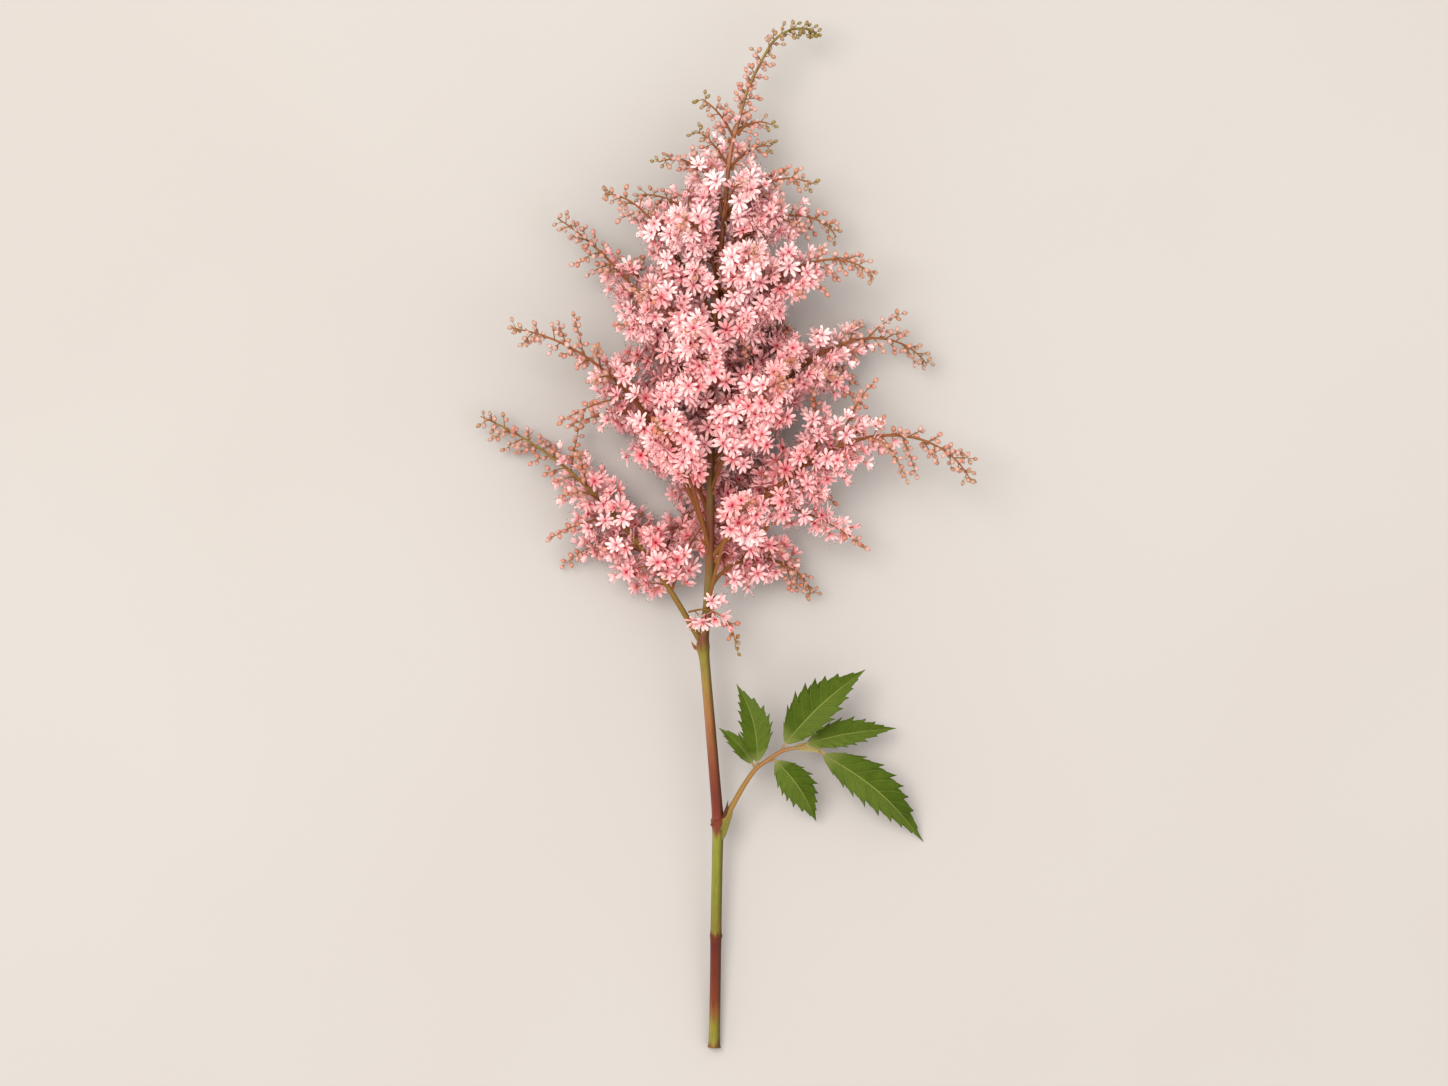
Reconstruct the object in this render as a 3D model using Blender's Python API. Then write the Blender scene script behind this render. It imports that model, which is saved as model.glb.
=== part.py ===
"""A cut flowering stem of astilbe, lying on a surface.

Lengths are in millimetres until a mesh is made. +Y runs up the stem to the tip of the plume,
+X is the plume's right-hand side, and +Z is up from the surface. The origin lies on the surface,
under the middle of the stem's length.

The plume is an axis with side sprays. Each spray is one fused solid: an arching shoot, branchlets
that shorten towards its tip, open florets of five petals on the inner part, and round buds
further out. A compound leaf with toothed leaflets grows from the lower stem.
"""

import math
import random
from collections import namedtuple

import bmesh
import bpy
import numpy as np

METRES_PER_MM = 0.001
SEED = 20

# The gap where a piece sits on what carries it, and the least gap where two pass each other.
SEAT_GAP = 0.3
AIR_GAP = 0.35

# Leaves and branches stand round a stem at this step in degrees.
GOLDEN_ANGLE = 137.5

# Faces that meet at less than this angle become one, and edges sharper than this stay sharp,
# in degrees.
FLAT_ANGLE = 0.5
SHARP_ANGLE = 40

# A direction with more than this share of +Z or -Z counts as upright.
NEARLY_UPRIGHT = 0.9

# The main axis from the cut end to the nodding tip: x, y, z and radius.
STEM_POINTS = (
    (-3.4, -205.8, 2.45, 2.75),
    (-3.3, -202.5, 2.9, 2.3),
    (-2.9, -180.0, 5.7, 2.2),
    (-2.7, -163.5, 7.6, 2.25),
    (-2.6, -160.5, 8.0, 2.6),
    (-2.6, -157.0, 8.4, 2.25),
    (-2.1, -130.0, 11.4, 2.2),
    (-1.8, -118.5, 12.6, 2.35),
    (-1.8, -114.0, 13.1, 2.95),
    (-2.1, -109.5, 13.6, 2.3),
    (-4.6, -79.0, 16.9, 2.1),
    (-7.0, -51.0, 19.9, 2.05),
    (-7.8, -44.0, 20.6, 2.7),
    (-7.3, -38.5, 21.2, 2.0),
    (-5.6, -23.0, 22.8, 1.9),
    (-5.0, 1.0, 25.1, 1.75),
    (-4.6, 32.0, 27.4, 1.5),
    (-3.8, 66.0, 29.0, 1.3),
    (-1.8, 103.0, 29.6, 1.1),
    (0.8, 129.0, 29.2, 0.95),
    (3.0, 152.0, 28.4, 0.8),
    (7.0, 168.5, 27.6, 0.7),
    (10.2, 179.0, 27.0, 0.65),
    (14.4, 188.0, 26.4, 0.6),
    (20.2, 198.0, 25.6, 0.55),
    (26.5, 202.6, 24.8, 0.5),
    (33.0, 203.4, 24.0, 0.5),
    (37.6, 201.6, 23.4, 0.5),
)
STEM_SIDES = 8

# The nodding tip above this y carries buds. It is smoothed with this many steps a row.
TIP_BUDS_FROM = 170.0
TIP_STEPS = 8

# How a side spray grows: the y where it leaves the axis, the way it points round the axis in
# degrees (0 right, 90 up, 180 left, 270 down), its lean off the axis at the root and at the tip,
# how late it bends (1 is evenly), and its length.
Spray = namedtuple("Spray", "name y turn root_lean tip_lean lateness length")
SPRAYS = (
    Spray("spray_left_1", -43.6, 189, 30, 68, 1.6, 132),
    Spray("spray_left_2", -1.6, 168, 22, 83, 1.8, 123),
    Spray("spray_left_3", 52.8, 191, 32, 58, 2.2, 99),
    Spray("spray_left_4", 86.8, 166, 32, 95, 4.7, 70),
    Spray("spray_left_5", 110.0, 196, 26, 97, 1.8, 46),
    Spray("spray_left_6", 129.6, 172, 14, 113, 1.5, 38),
    Spray("spray_left_7", 148.0, 195, 34, 66, 2.4, 20),
    Spray("spray_right_1", -24.0, 338, 10, 150, 0.8, 58),
    Spray("spray_right_2", -8.8, 9, 42, 155, 2.4, 130),
    Spray("spray_right_3", 30.0, 350, 41, 148, 3.0, 111),
    Spray("spray_right_4", 76.8, 14, 42, 138, 2.6, 79),
    Spray("spray_right_5", 109.6, 350, 43, 150, 2.0, 57),
    Spray("spray_right_6", 128.8, 12, 50, 127, 2.4, 40),
    Spray("spray_right_7", 147.6, 346, 49, 104, 2.8, 20),
    Spray("spray_left_8", 158.8, 165, 24, 60, 1.3, 21),
    Spray("spray_right_8", 161.5, 15, 56, 117, 1.9, 15),
    Spray("spray_upper_1", -30.0, 72, 34, 84, 1.8, 72),
    Spray("spray_upper_2", -6.0, 112, 32, 80, 1.8, 78),
    Spray("spray_upper_3", 18.0, 58, 34, 84, 1.8, 72),
    Spray("spray_upper_4", 42.0, 98, 32, 86, 1.8, 66),
    Spray("spray_upper_5", 62.0, 132, 32, 88, 1.8, 60),
    Spray("spray_upper_6", 82.0, 66, 34, 90, 1.8, 52),
    Spray("spray_upper_7", 102.0, 114, 34, 94, 1.8, 42),
    Spray("spray_upper_8", 124.0, 74, 36, 96, 1.8, 30),
    Spray("spray_lower_1", -18.0, 296, 34, 72, 1.5, 74),
    Spray("spray_lower_2", 8.0, 232, 32, 72, 1.5, 82),
    Spray("spray_lower_3", 40.0, 302, 34, 76, 1.5, 74),
    Spray("spray_lower_4", 64.0, 240, 32, 78, 1.5, 62),
    Spray("spray_lower_5", 92.0, 300, 34, 84, 1.6, 46),
    Spray("spray_lower_6", 116.0, 244, 34, 88, 1.6, 34),
)

# A shoot's radius grows with its length. Near the surface it eases up and runs along it.
SHOOT_SIDES = 4
SHOOT_STATIONS = 6
SHOOT_BASE_RADIUS = 0.45
SHOOT_RADIUS_SHARE = 0.006
SHOOT_PATH_POINTS = 60
ROOT_POINTS = 20
FLOOR_CLEARANCE = 2.2
FLOOR_SOFTNESS = 6.0

# Branchlets shorten towards the tip of their shoot. Shares run from its root to its tip.
THIN_SIDES = 3
THIN_RADIUS = 0.45
BRANCHLET_SPACING = 10.5
BRANCHLET_LEAN = (44, 72)
BRANCHLET_SHARE = 0.4
SHORTEST_BRANCHLET = 8.0
FIRST_BRANCHLET = 0.12
LAST_BRANCHLET = 0.8
OPEN_SHARE = 0.7
LAST_FULLY_OPEN = 0.6
PART_OPEN_SHARE = 0.5

# A branchlet tries this many directions, this many degrees apart, then again with fewer heads.
TURN_TRIES = 10
TURN_STEP = 37
FEWER_TRIES = 3

# An open floret is a thin star, drawn larger than life.
PETALS = 5
PETAL_LENGTH = 6.6
NOTCH_RADIUS = 2.6
PETAL_LIFT = 1.0
FLORET_HALF_DEPTH = 0.6
FLORET_SPACING = 7.0
FLORET_OFFSET = 1.6
FLORET_TILT = 36
PETAL_ROD = 1.15
PETAL_ROD_START = 0.3
PETAL_GAP = 0.2

# A floret whose lowest petal tip ends within this of the surface is moved to touch it.
TOUCHDOWN = 1.5

# A bud is a bead on its stalk. Beads stand by turns on either side of the stalk.
BUD_SIDES = 4
BUD_RADIUS = 1.6
BUD_HALF_LENGTH = 1.4
BUD_SPACING = 4.3
FIRST_BUD_AT = 3.2
BUD_OFFSET = 1.15
BUD_TURN_SPREAD = 40
BUD_ROD_START = 0.6
BUD_FLOOR_GAP = 0.3

# The leaf's main stalk: x, y, z and radius.
LEAF_STALK = (
    (1.6, -111.2, 14.0, 1.5),
    (4.2, -107.5, 14.8, 0.95),
    (8.4, -100.0, 16.6, 0.8),
    (13.2, -93.2, 18.2, 0.8),
    (18.0, -89.6, 19.2, 0.75),
    (23.8, -85.9, 19.6, 0.7),
    (31.0, -84.4, 18.6, 0.65),
    (38.4, -85.6, 16.4, 0.6),
)
STALK_SIDES = 6
SIDE_STALK_RADII = (0.55, 0.5, 0.45)
SIDE_STALK_STRAIGHT = 1.2

# Each leaflet: the row of LEAF_STALK that its own short stalk springs from, its foot, its tip,
# half its width, the height of its arch, the roll of its blade in degrees, and its teeth a side.
Leaflet = namedtuple("Leaflet", "name joint foot tip half_width arch roll teeth")
LEAFLETS = (
    Leaflet("leaflet_1", 3, (14.0, -90.0, 20.0), (5.6, -58.8, 26.0), 7.6, 4.0, 12, 8),
    Leaflet("leaflet_2", 3, (11.9, -90.8, 19.0), (-1.4, -76.4, 24.2), 3.6, 1.2, -10, 5),
    Leaflet("leaflet_3", 5, (25.2, -82.6, 20.6), (57.4, -53.2, 16.0), 9.2, 6.0, 8, 9),
    Leaflet("leaflet_4", 6, (34.0, -82.7, 18.2), (70.0, -77.0, 9.0), 5.4, 3.0, -14, 8),
    Leaflet("leaflet_5", 7, (40.6, -87.4, 15.6), (81.0, -123.0, 0.4), 8.8, 7.0, -6, 10),
    Leaflet("leaflet_6", 4, (21.6, -89.8, 18.6), (37.8, -114.6, 5.0), 7.4, 4.0, 10, 8),
)
BLADE_THICKNESS = 0.8
BLADE_FULLNESS = (0.72, 0.8)
EDGE_RISE = 0.16
FOOT_HALF_WIDTH = 0.5
TIP_HALF_WIDTH = 0.3
TOOTH_DEPTH = 0.22
TOOTH_LEAN = 0.35

MATERIALS = {
    "stem": ((0.30, 0.22, 0.06), 0.45),
    "spray": ((0.84, 0.36, 0.44), 0.6),
    "leaf_stalk": ((0.42, 0.20, 0.07), 0.5),
    "leaf": ((0.07, 0.18, 0.03), 0.5),
}


# Small vector helpers

def unit(vector):
    return vector / np.linalg.norm(vector)


def two_across(way):
    """Two unit vectors square to each other and to the given one."""
    helper = (1.0, 0.0, 0.0) if abs(way[2]) > NEARLY_UPRIGHT else (0.0, 0.0, 1.0)
    first = unit(np.cross(way, helper))
    return first, np.cross(way, first)


def around(way, degrees):
    """A unit vector square to way, turned about it by the given angle."""
    first, second = two_across(way)
    angle = math.radians(degrees)
    return math.cos(angle) * first + math.sin(angle) * second


def upright_part(way):
    """The unit vector square to way that points most nearly straight up."""
    up = np.array((0.0, 1.0, 0.0) if abs(way[2]) > NEARLY_UPRIGHT else (0.0, 0.0, 1.0))
    return unit(up - way * way.dot(up))


def leaning(way, side, degrees):
    """The direction that leans off way towards side by the given angle."""
    angle = math.radians(degrees)
    return math.cos(angle) * way + math.sin(angle) * side


# The space already taken, so that no two nodes cross

def rod_distances(start_a, end_a, start_b, end_b):
    """Shortest distance between each segment a and each segment b, as a table."""
    along_a = (end_a - start_a)[:, None]
    along_b = (end_b - start_b)[None]
    between = start_a[:, None] - start_b[None]
    aa = (along_a * along_a).sum(2)
    bb = (along_b * along_b).sum(2)
    ab = (along_a * along_b).sum(2)
    a_gap = (along_a * between).sum(2)
    b_gap = (along_b * between).sum(2)
    spread = np.maximum(aa * bb - ab * ab, 1e-9)
    share_a = np.clip((ab * b_gap - a_gap * bb) / spread, 0, 1)
    share_b = np.clip((ab * share_a + b_gap) / bb, 0, 1)
    share_a = np.clip((ab * share_b - a_gap) / aa, 0, 1)
    apart = between + share_a[..., None] * along_a - share_b[..., None] * along_b
    return np.linalg.norm(apart, axis=2)


class TakenSpace:
    """Round-ended rods that stand for the solids placed so far, each with its node's number."""

    def __init__(self):
        self.starts = np.zeros((0, 3))
        self.ends = np.zeros((0, 3))
        self.radii = np.zeros(0)
        self.owners = np.zeros(0, int)

    def take(self, rods, owner):
        starts, ends, radii = rods
        self.starts = np.vstack((self.starts, starts))
        self.ends = np.vstack((self.ends, ends))
        self.radii = np.append(self.radii, radii)
        self.owners = np.append(self.owners, np.full(len(radii), owner))

    def is_free(self, rods, owner, beside_own=False):
        """True if the rods keep AIR_GAP to other nodes, and to their own if beside_own."""
        starts, ends, radii = rods
        others = self.owners >= 0 if beside_own else self.owners != owner
        apart = rod_distances(starts, ends, self.starts[others], self.ends[others])
        apart -= radii[:, None] + self.radii[others][None]
        return apart.size == 0 or apart.min() > AIR_GAP


def path_rods(points, radii):
    """The rods that cover a tube along a path."""
    return points[:-1], points[1:], np.maximum(radii[:-1], radii[1:])


# Solids, each a pair of vertices and faces, lofted from one cross-section to the next

def section(centre, way, side, radii, lifts=(0.0,), spin=0.0):
    """Points round a centre, square to way, at the given radii and lifted along way."""
    side = unit(side - way * side.dot(way))
    other = np.cross(way, side)
    count = len(radii)
    angles = math.radians(spin) + math.tau * np.arange(count) / count
    ring = np.cos(angles)[:, None] * side + np.sin(angles)[:, None] * other
    lifts = np.resize(lifts, count)
    return centre + np.array(radii)[:, None] * ring + lifts[:, None] * way


def loft(sections):
    """One closed skin over cross-sections, which may differ in their number of points."""
    faces = []
    first = 0
    for low, high in zip(sections[:-1], sections[1:]):
        second = first + len(low)
        faces += bridge(first, len(low), second, len(high))
        first = second
    last = range(first, first + len(sections[-1]))
    if len(sections[0]) > 1:
        faces.append(tuple(reversed(range(len(sections[0])))))
    if len(last) > 1:
        faces.append(tuple(last))
    return np.vstack(sections), faces


def bridge(first, low_count, second, high_count):
    """Triangles between two rings, each step taken on the ring whose next point is nearer."""
    faces = []
    low, high = 0, 0
    while low < low_count or high < high_count:
        a, b = first + low % low_count, second + high % high_count
        step_low = high == high_count or (
            low < low_count and (low + 0.5) / low_count <= (high + 0.5) / high_count
        )
        if step_low:
            low += 1
            if low_count > 1:
                faces.append((a, first + low % low_count, b))
        else:
            high += 1
            if high_count > 1:
                faces.append((a, second + high % high_count, b))
    return faces


def tube(points, radii, sides):
    """A tube through the points. An end whose radius is 0 closes in a point."""
    sections = []
    side = two_across(unit(points[1] - points[0]))[0]
    for point, way, radius in zip(points, np.gradient(points, axis=0), radii):
        way = unit(way)
        side = unit(side - way * side.dot(way))
        sections.append(section(point, way, side, [radius] * sides if radius else [0.0]))
    return loft(sections)


def floret_sections(centre, way, side, is_last):
    """A star of five petals round a thin stalk, and the rods that cover its petals."""
    star = section(
        centre, way, side, [PETAL_LENGTH, NOTCH_RADIUS] * PETALS, (PETAL_LIFT, 0.0)
    )
    tips = star[::2]
    starts = centre + PETAL_ROD_START * (tips - centre)
    rods = starts, tips, np.full(PETALS, PETAL_ROD)
    thin = [THIN_RADIUS] * THIN_SIDES
    behind = section(centre - FLORET_HALF_DEPTH * way, way, side, thin)
    ahead = section(centre + FLORET_HALF_DEPTH * way, way, side, [0.0] if is_last else thin)
    return [behind, star, ahead], rods


def bud_sections(centre, way, side, is_last):
    """A bead round a thin stalk, and the rod that covers it."""
    reach = BUD_HALF_LENGTH * way
    thin = [THIN_RADIUS] * THIN_SIDES
    belly = section(centre, way, side, [BUD_RADIUS] * BUD_SIDES)
    ahead = section(centre + reach, way, side, [0.0] if is_last else thin)
    rods = (centre - BUD_ROD_START * reach)[None], (centre + reach)[None], np.array((BUD_RADIUS,))
    return [section(centre - reach, way, side, thin), belly, ahead], rods


# Objects

def new_object(name, vertices, faces, collection):
    mesh = bpy.data.meshes.new(name)
    mesh.from_pydata((vertices * METRES_PER_MM).tolist(), [], faces)
    work = bmesh.new()
    work.from_mesh(mesh)
    bmesh.ops.triangulate(work, faces=work.faces[:])
    bmesh.ops.recalc_face_normals(work, faces=work.faces[:])
    work.to_mesh(mesh)
    work.free()
    piece = bpy.data.objects.new(name, mesh)
    collection.objects.link(piece)
    return piece


def tidy_body(mesh):
    """Keeps the largest body, which drops scraps and fills sealed hollows, and joins flat faces."""
    work = bmesh.new()
    work.from_mesh(mesh)
    unseen = set(work.verts)
    bodies = []
    while unseen:
        reached = [unseen.pop()]
        body = set(reached)
        while reached:
            for edge in reached.pop().link_edges:
                for vertex in edge.verts:
                    if vertex in unseen:
                        unseen.discard(vertex)
                        body.add(vertex)
                        reached.append(vertex)
        bodies.append(body)
    keep = max(bodies, key=len)
    spare = [vertex for vertex in work.verts if vertex not in keep]
    bmesh.ops.delete(work, geom=spare, context="VERTS")
    bmesh.ops.dissolve_limit(
        work, angle_limit=math.radians(FLAT_ANGLE), verts=work.verts[:], edges=work.edges[:]
    )
    bmesh.ops.triangulate(work, faces=work.faces[:])
    work.to_mesh(mesh)
    work.free()


def fuse(name, solids):
    """One object from overlapping solids, by one Boolean union on a collection."""
    scene = bpy.context.scene.collection
    whole = new_object(name, *solids[0], scene)
    repeats = bpy.data.collections.new(name + "_repeats")
    scene.children.link(repeats)
    for number, solid in enumerate(solids[1:]):
        new_object(f"{name}_repeat_{number}", *solid, repeats)
    union = whole.modifiers.new("union", "BOOLEAN")
    union.operation = "UNION"
    union.operand_type = "COLLECTION"
    union.collection = repeats
    union.solver = "EXACT"
    evaluated = whole.evaluated_get(bpy.context.evaluated_depsgraph_get())
    joined = bpy.data.meshes.new_from_object(evaluated)
    whole.modifiers.clear()
    whole.data = joined
    for piece in list(repeats.objects):
        bpy.data.objects.remove(piece)
    bpy.data.collections.remove(repeats)
    tidy_body(joined)
    return whole


def paint(piece, kind):
    colour, roughness = MATERIALS[kind]
    material = bpy.data.materials.get(kind) or bpy.data.materials.new(kind)
    material.use_nodes = True
    shader = material.node_tree.nodes["Principled BSDF"]
    shader.inputs["Base Color"].default_value = (*colour, 1.0)
    shader.inputs["Roughness"].default_value = roughness
    shader.inputs["Metallic"].default_value = 0.0
    material.diffuse_color = (*colour, 1.0)
    piece.data.materials.clear()
    piece.data.materials.append(material)
    piece.data.shade_smooth()
    piece.data.set_sharp_from_angle(angle=math.radians(SHARP_ANGLE))


# The stem

def smooth_path(table, steps):
    """Catmull-Rom points through a table of rows, with the given steps between rows."""
    rows = np.array(table, float)
    padded = np.vstack((2 * rows[0] - rows[1], rows, 2 * rows[-1] - rows[-2]))
    points = []
    for a, b, c, d in zip(padded, padded[1:], padded[2:], padded[3:]):
        for t in np.arange(steps) / steps:
            points.append(
                0.5 * (2 * b + (c - a) * t + (2 * a - 5 * b + 4 * c - d) * t**2
                       + (3 * b - a - 3 * c + d) * t**3)
            )
    points.append(rows[-1])
    return np.array(points)


def stem_at(y):
    """The axis's point and radius at a height along the stem, below its nodding tip."""
    rows = np.array(STEM_POINTS)
    rows = rows[: int(rows[:, 1].argmax()) + 1]
    x, z, radius = (np.interp(y, rows[:, 1], rows[:, k]) for k in (0, 2, 3))
    return np.array((x, y, z)), radius


# The sprays

def shoot_path(spray):
    """The arching line of a spray, eased up where it would go under the surface."""
    root = stem_at(spray.y)[0]
    turn = math.radians(spray.turn)
    outward = np.array((math.cos(turn), 0.0, math.sin(turn)))
    along = np.array((0.0, 1.0, 0.0))
    shares = np.linspace(0, 1, SHOOT_PATH_POINTS)
    leans = np.radians(
        spray.root_lean + (spray.tip_lean - spray.root_lean) * shares**spray.lateness
    )
    steps = np.sin(leans)[:, None] * outward + np.cos(leans)[:, None] * along
    steps = 0.5 * (steps[1:] + steps[:-1]) * spray.length / (SHOOT_PATH_POINTS - 1)
    points = root + np.vstack((np.zeros(3), np.cumsum(steps, axis=0)))
    height = points[:, 2] - FLOOR_CLEARANCE
    eased = FLOOR_CLEARANCE + 0.5 * (height + np.hypot(height, FLOOR_SOFTNESS))
    points[:, 2] = eased - (eased[0] - root[2]) * (1 - shares)
    clear = [
        math.hypot(point[0] - axis[0], point[2] - axis[2]) - radius
        for point in points[:ROOT_POINTS]
        for axis, radius in [stem_at(point[1])]
    ]
    clear_by = SEAT_GAP + shoot_radius(spray, 0) * math.cos(leans[0])
    start = np.interp(clear_by, clear, shares[:ROOT_POINTS])
    wanted = np.linspace(start, 1, SHOOT_PATH_POINTS)
    return np.column_stack([np.interp(wanted, shares, points[:, k]) for k in range(3)])


def shoot_radius(spray, share):
    """A shoot's radius, from its root (share 0) to its tip (share 1)."""
    root_radius = SHOOT_BASE_RADIUS + SHOOT_RADIUS_SHARE * spray.length
    return root_radius * (1 - share) + THIN_RADIUS * share


def along_path(points, share):
    """The point and the direction at a share of a path's stations."""
    place = share * (len(points) - 1)
    low = min(int(place), len(points) - 2)
    way = unit(points[low + 1] - points[low])
    return points[low] + (place - low) * (points[low + 1] - points[low]), way


def joined(rods_list):
    """Several sets of rods as one set."""
    return tuple(np.concatenate(column) for column in zip(*rods_list))


class SprayBuilder:
    """Grows one spray's solids into the space that the other nodes leave free."""

    def __init__(self, number, spray, space):
        self.number = number
        self.spray = spray
        self.space = space
        self.draw = random.Random(SEED + number)
        self.path = shoot_path(spray)
        self.solids = [self.shoot_solid()]
        wanted = round((LAST_BRANCHLET - FIRST_BRANCHLET) * spray.length / BRANCHLET_SPACING)
        self.places = np.linspace(FIRST_BRANCHLET, LAST_BRANCHLET, max(1, wanted))

    def shoot_solid(self):
        """The arching shoot, with beads for buds on its bare end."""
        turn = math.radians(self.spray.turn)
        side = np.array((-math.sin(turn), 0.0, math.cos(turn)))
        shares = np.linspace(0, OPEN_SHARE, SHOOT_STATIONS)
        radii = np.array([shoot_radius(self.spray, share) for share in shares])
        places = [along_path(self.path, share) for share in shares]
        sections = [
            section(point, way, side, [radius] * SHOOT_SIDES)
            for (point, way), radius in zip(places, radii)
        ]
        self.space.take(path_rods(np.array([point for point, _ in places]), radii), self.number)
        length = np.linalg.norm(np.diff(self.path, axis=0), axis=1).sum()
        bare = (1 - OPEN_SHARE) * length - FIRST_BUD_AT
        count = 1 + max(0, int(bare / BUD_SPACING))
        shares = OPEN_SHARE + (FIRST_BUD_AT + BUD_SPACING * np.arange(count)) / length
        for place, share in enumerate(np.minimum(shares, 1)):
            point, way = along_path(self.path, share)
            spread = self.draw.uniform(-BUD_TURN_SPREAD, BUD_TURN_SPREAD)
            outward = around(way, spread + 180 * (place % 2))
            centre = point + BUD_OFFSET * outward
            beads, bead_rods = bud_sections(centre, way, side, place == count - 1)
            sections += beads
            self.space.take(bead_rods, self.number)
        return loft(sections)

    def add_branchlet(self, place):
        """One branchlet in the first free direction, shorter if it fits nowhere whole."""
        if place >= len(self.places):
            return
        share = self.places[place]
        length = max(SHORTEST_BRANCHLET, BRANCHLET_SHARE * self.spray.length * (1 - share))
        stops = round(length / FLORET_SPACING)
        open_share = 1.0 if share < LAST_FULLY_OPEN else PART_OPEN_SHARE
        open_stops = max(1, round(stops * open_share))
        for fewer in range(FEWER_TRIES):
            for attempt in range(TURN_TRIES):
                turn = place * GOLDEN_ANGLE + attempt * TURN_STEP
                made = self.branchlet(share, turn, max(1, stops - fewer), open_stops)
                if made is not None:
                    sections, rods = made
                    self.solids.append(loft(sections))
                    self.space.take(rods, self.number)
                    return

    def branchlet(self, share, turn, stops, open_stops):
        """Sections of a branchlet with florets, then buds, and its rods, if it finds room."""
        root, way = along_path(self.path, share)
        side = around(way, turn)
        heading = leaning(way, side, BRANCHLET_LEAN[0])
        tilt_side = self.draw.choice((-1.0, 1.0)) * upright_part(heading)
        sections = [section(root, heading, way, [THIN_RADIUS] * THIN_SIDES)]
        stalk_rods = []
        head_rods = []
        here = root
        for stop in range(stops):
            heading = leaning(way, side, np.interp(stop, (0, max(1, stops - 1)), BRANCHLET_LEAN))
            ahead = here + FLORET_SPACING * heading
            centre = ahead + FLORET_OFFSET * around(heading, turn + stop * GOLDEN_ANGLE)
            stalk_rods.append((here[None], centre[None], np.array((THIN_RADIUS,))))
            here = ahead
            is_last = stop == stops - 1
            if stop < open_stops:
                facing = unit(leaning(heading, tilt_side, FLORET_TILT))
                made = self.landed(floret_sections(centre, facing, way, is_last))
            else:
                made = bud_sections(centre, heading, way, is_last)
                if centre[2] < BUD_RADIUS + BUD_FLOOR_GAP:
                    made = None
            if made is None or (head_rods and crowded(made[1], head_rods[-1])):
                return None
            sections += made[0]
            head_rods.append(made[1])
        if not self.space.is_free(joined(head_rods + stalk_rods[1:]), self.number, beside_own=True):
            return None
        if not self.space.is_free(stalk_rods[0], self.number):
            return None
        return sections, joined(stalk_rods + head_rods)

    def landed(self, floret):
        """A floret moved up or down to lie on the surface if it nearly does, or None below it."""
        sections, (starts, ends, radii) = floret
        lowest = sections[1][:, 2].min()
        if lowest < -TOUCHDOWN:
            return None
        shift = (0.0, 0.0, -lowest if lowest < TOUCHDOWN else 0.0)
        return [points + shift for points in sections], (starts + shift, ends + shift, radii)


def crowded(rods, rods_before):
    """True if two neighbouring heads on a branchlet come too close to each other."""
    apart = rod_distances(*rods[:2], *rods_before[:2])
    return (apart - rods[2][:, None] - rods_before[2][None]).min() < PETAL_GAP


def build_sprays(space):
    builders = [SprayBuilder(number + 1, spray, space) for number, spray in enumerate(SPRAYS)]
    for place in range(max(len(builder.places) for builder in builders)):
        for builder in builders:
            builder.add_branchlet(place)
    for builder in builders:
        paint(fuse(builder.spray.name, builder.solids), "spray")


# The leaf

def triangles_of(corners):
    """Two triangles of a quad, or one where two neighbouring corners are one point."""
    a, b, c, d = corners
    halves = ((a, b, c), (a, c, d))
    return [half for half in halves if len(set(half)) == 3]


def leaflet_blade(leaflet):
    """A thin arched blade with forward-pointing teeth, split alike on both faces."""
    foot, tip = np.array(leaflet.foot), np.array(leaflet.tip)
    along = tip - foot
    heading = unit(along * (1, 1, 0))
    side = np.cross((0.0, 0.0, 1.0), heading)
    roll = math.radians(leaflet.roll)
    side = math.cos(roll) * side + (0.0, 0.0, math.sin(roll))
    stations = 2 * leaflet.teeth + 1
    shares = np.linspace(0, 1, stations)
    is_tooth = np.arange(stations) % 2 == 0
    tipward, full = BLADE_FULLNESS
    profile = np.abs(np.sin(np.pi * shares**tipward)) ** full
    reach = leaflet.half_width * profile * np.where(is_tooth, 1.0, 1 - TOOTH_DEPTH)
    lean = np.where(is_tooth, TOOTH_LEAN / leaflet.teeth, 0)
    middle = foot + shares[:, None] * along
    middle[:, 2] += leaflet.arch * np.sin(np.pi * shares)
    edge_shares = np.clip(shares + lean, 0, 1)
    edge = foot + edge_shares[:, None] * along
    edge[:, 2] += leaflet.arch * np.sin(np.pi * edge_shares) + EDGE_RISE * reach
    left, right = edge + reach[:, None] * side, edge - reach[:, None] * side
    left[0], right[0] = foot + FOOT_HALF_WIDTH * side, foot - FOOT_HALF_WIDTH * side
    left[-1], right[-1] = tip + TIP_HALF_WIDTH * side, tip - TIP_HALF_WIDTH * side
    top = np.stack((left, middle, right), axis=1).reshape(-1, 3)
    half = np.array((0.0, 0.0, 0.5 * BLADE_THICKNESS))
    top[:, 2] += max(0.0, 0.5 * BLADE_THICKNESS - top[:, 2].min())
    vertices = np.vstack((top + half, top - half))
    count = len(top)
    faces = []
    for k in range(stations - 1):
        for column in (0, 1):
            a = 3 * k + column
            quad = (a, a + 3, a + 4, a + 1)
            pair = triangles_of(quad)
            faces += pair
            faces += [tuple(count + v for v in reversed(half_face)) for half_face in pair]
    rim = [3 * k for k in range(stations)] + [3 * stations - 2]
    rim += [3 * k + 2 for k in reversed(range(stations))] + [1]
    for a, b in zip(rim, rim[1:] + rim[:1]):
        faces += triangles_of((b, a, count + a, count + b))
    return vertices, faces


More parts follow.
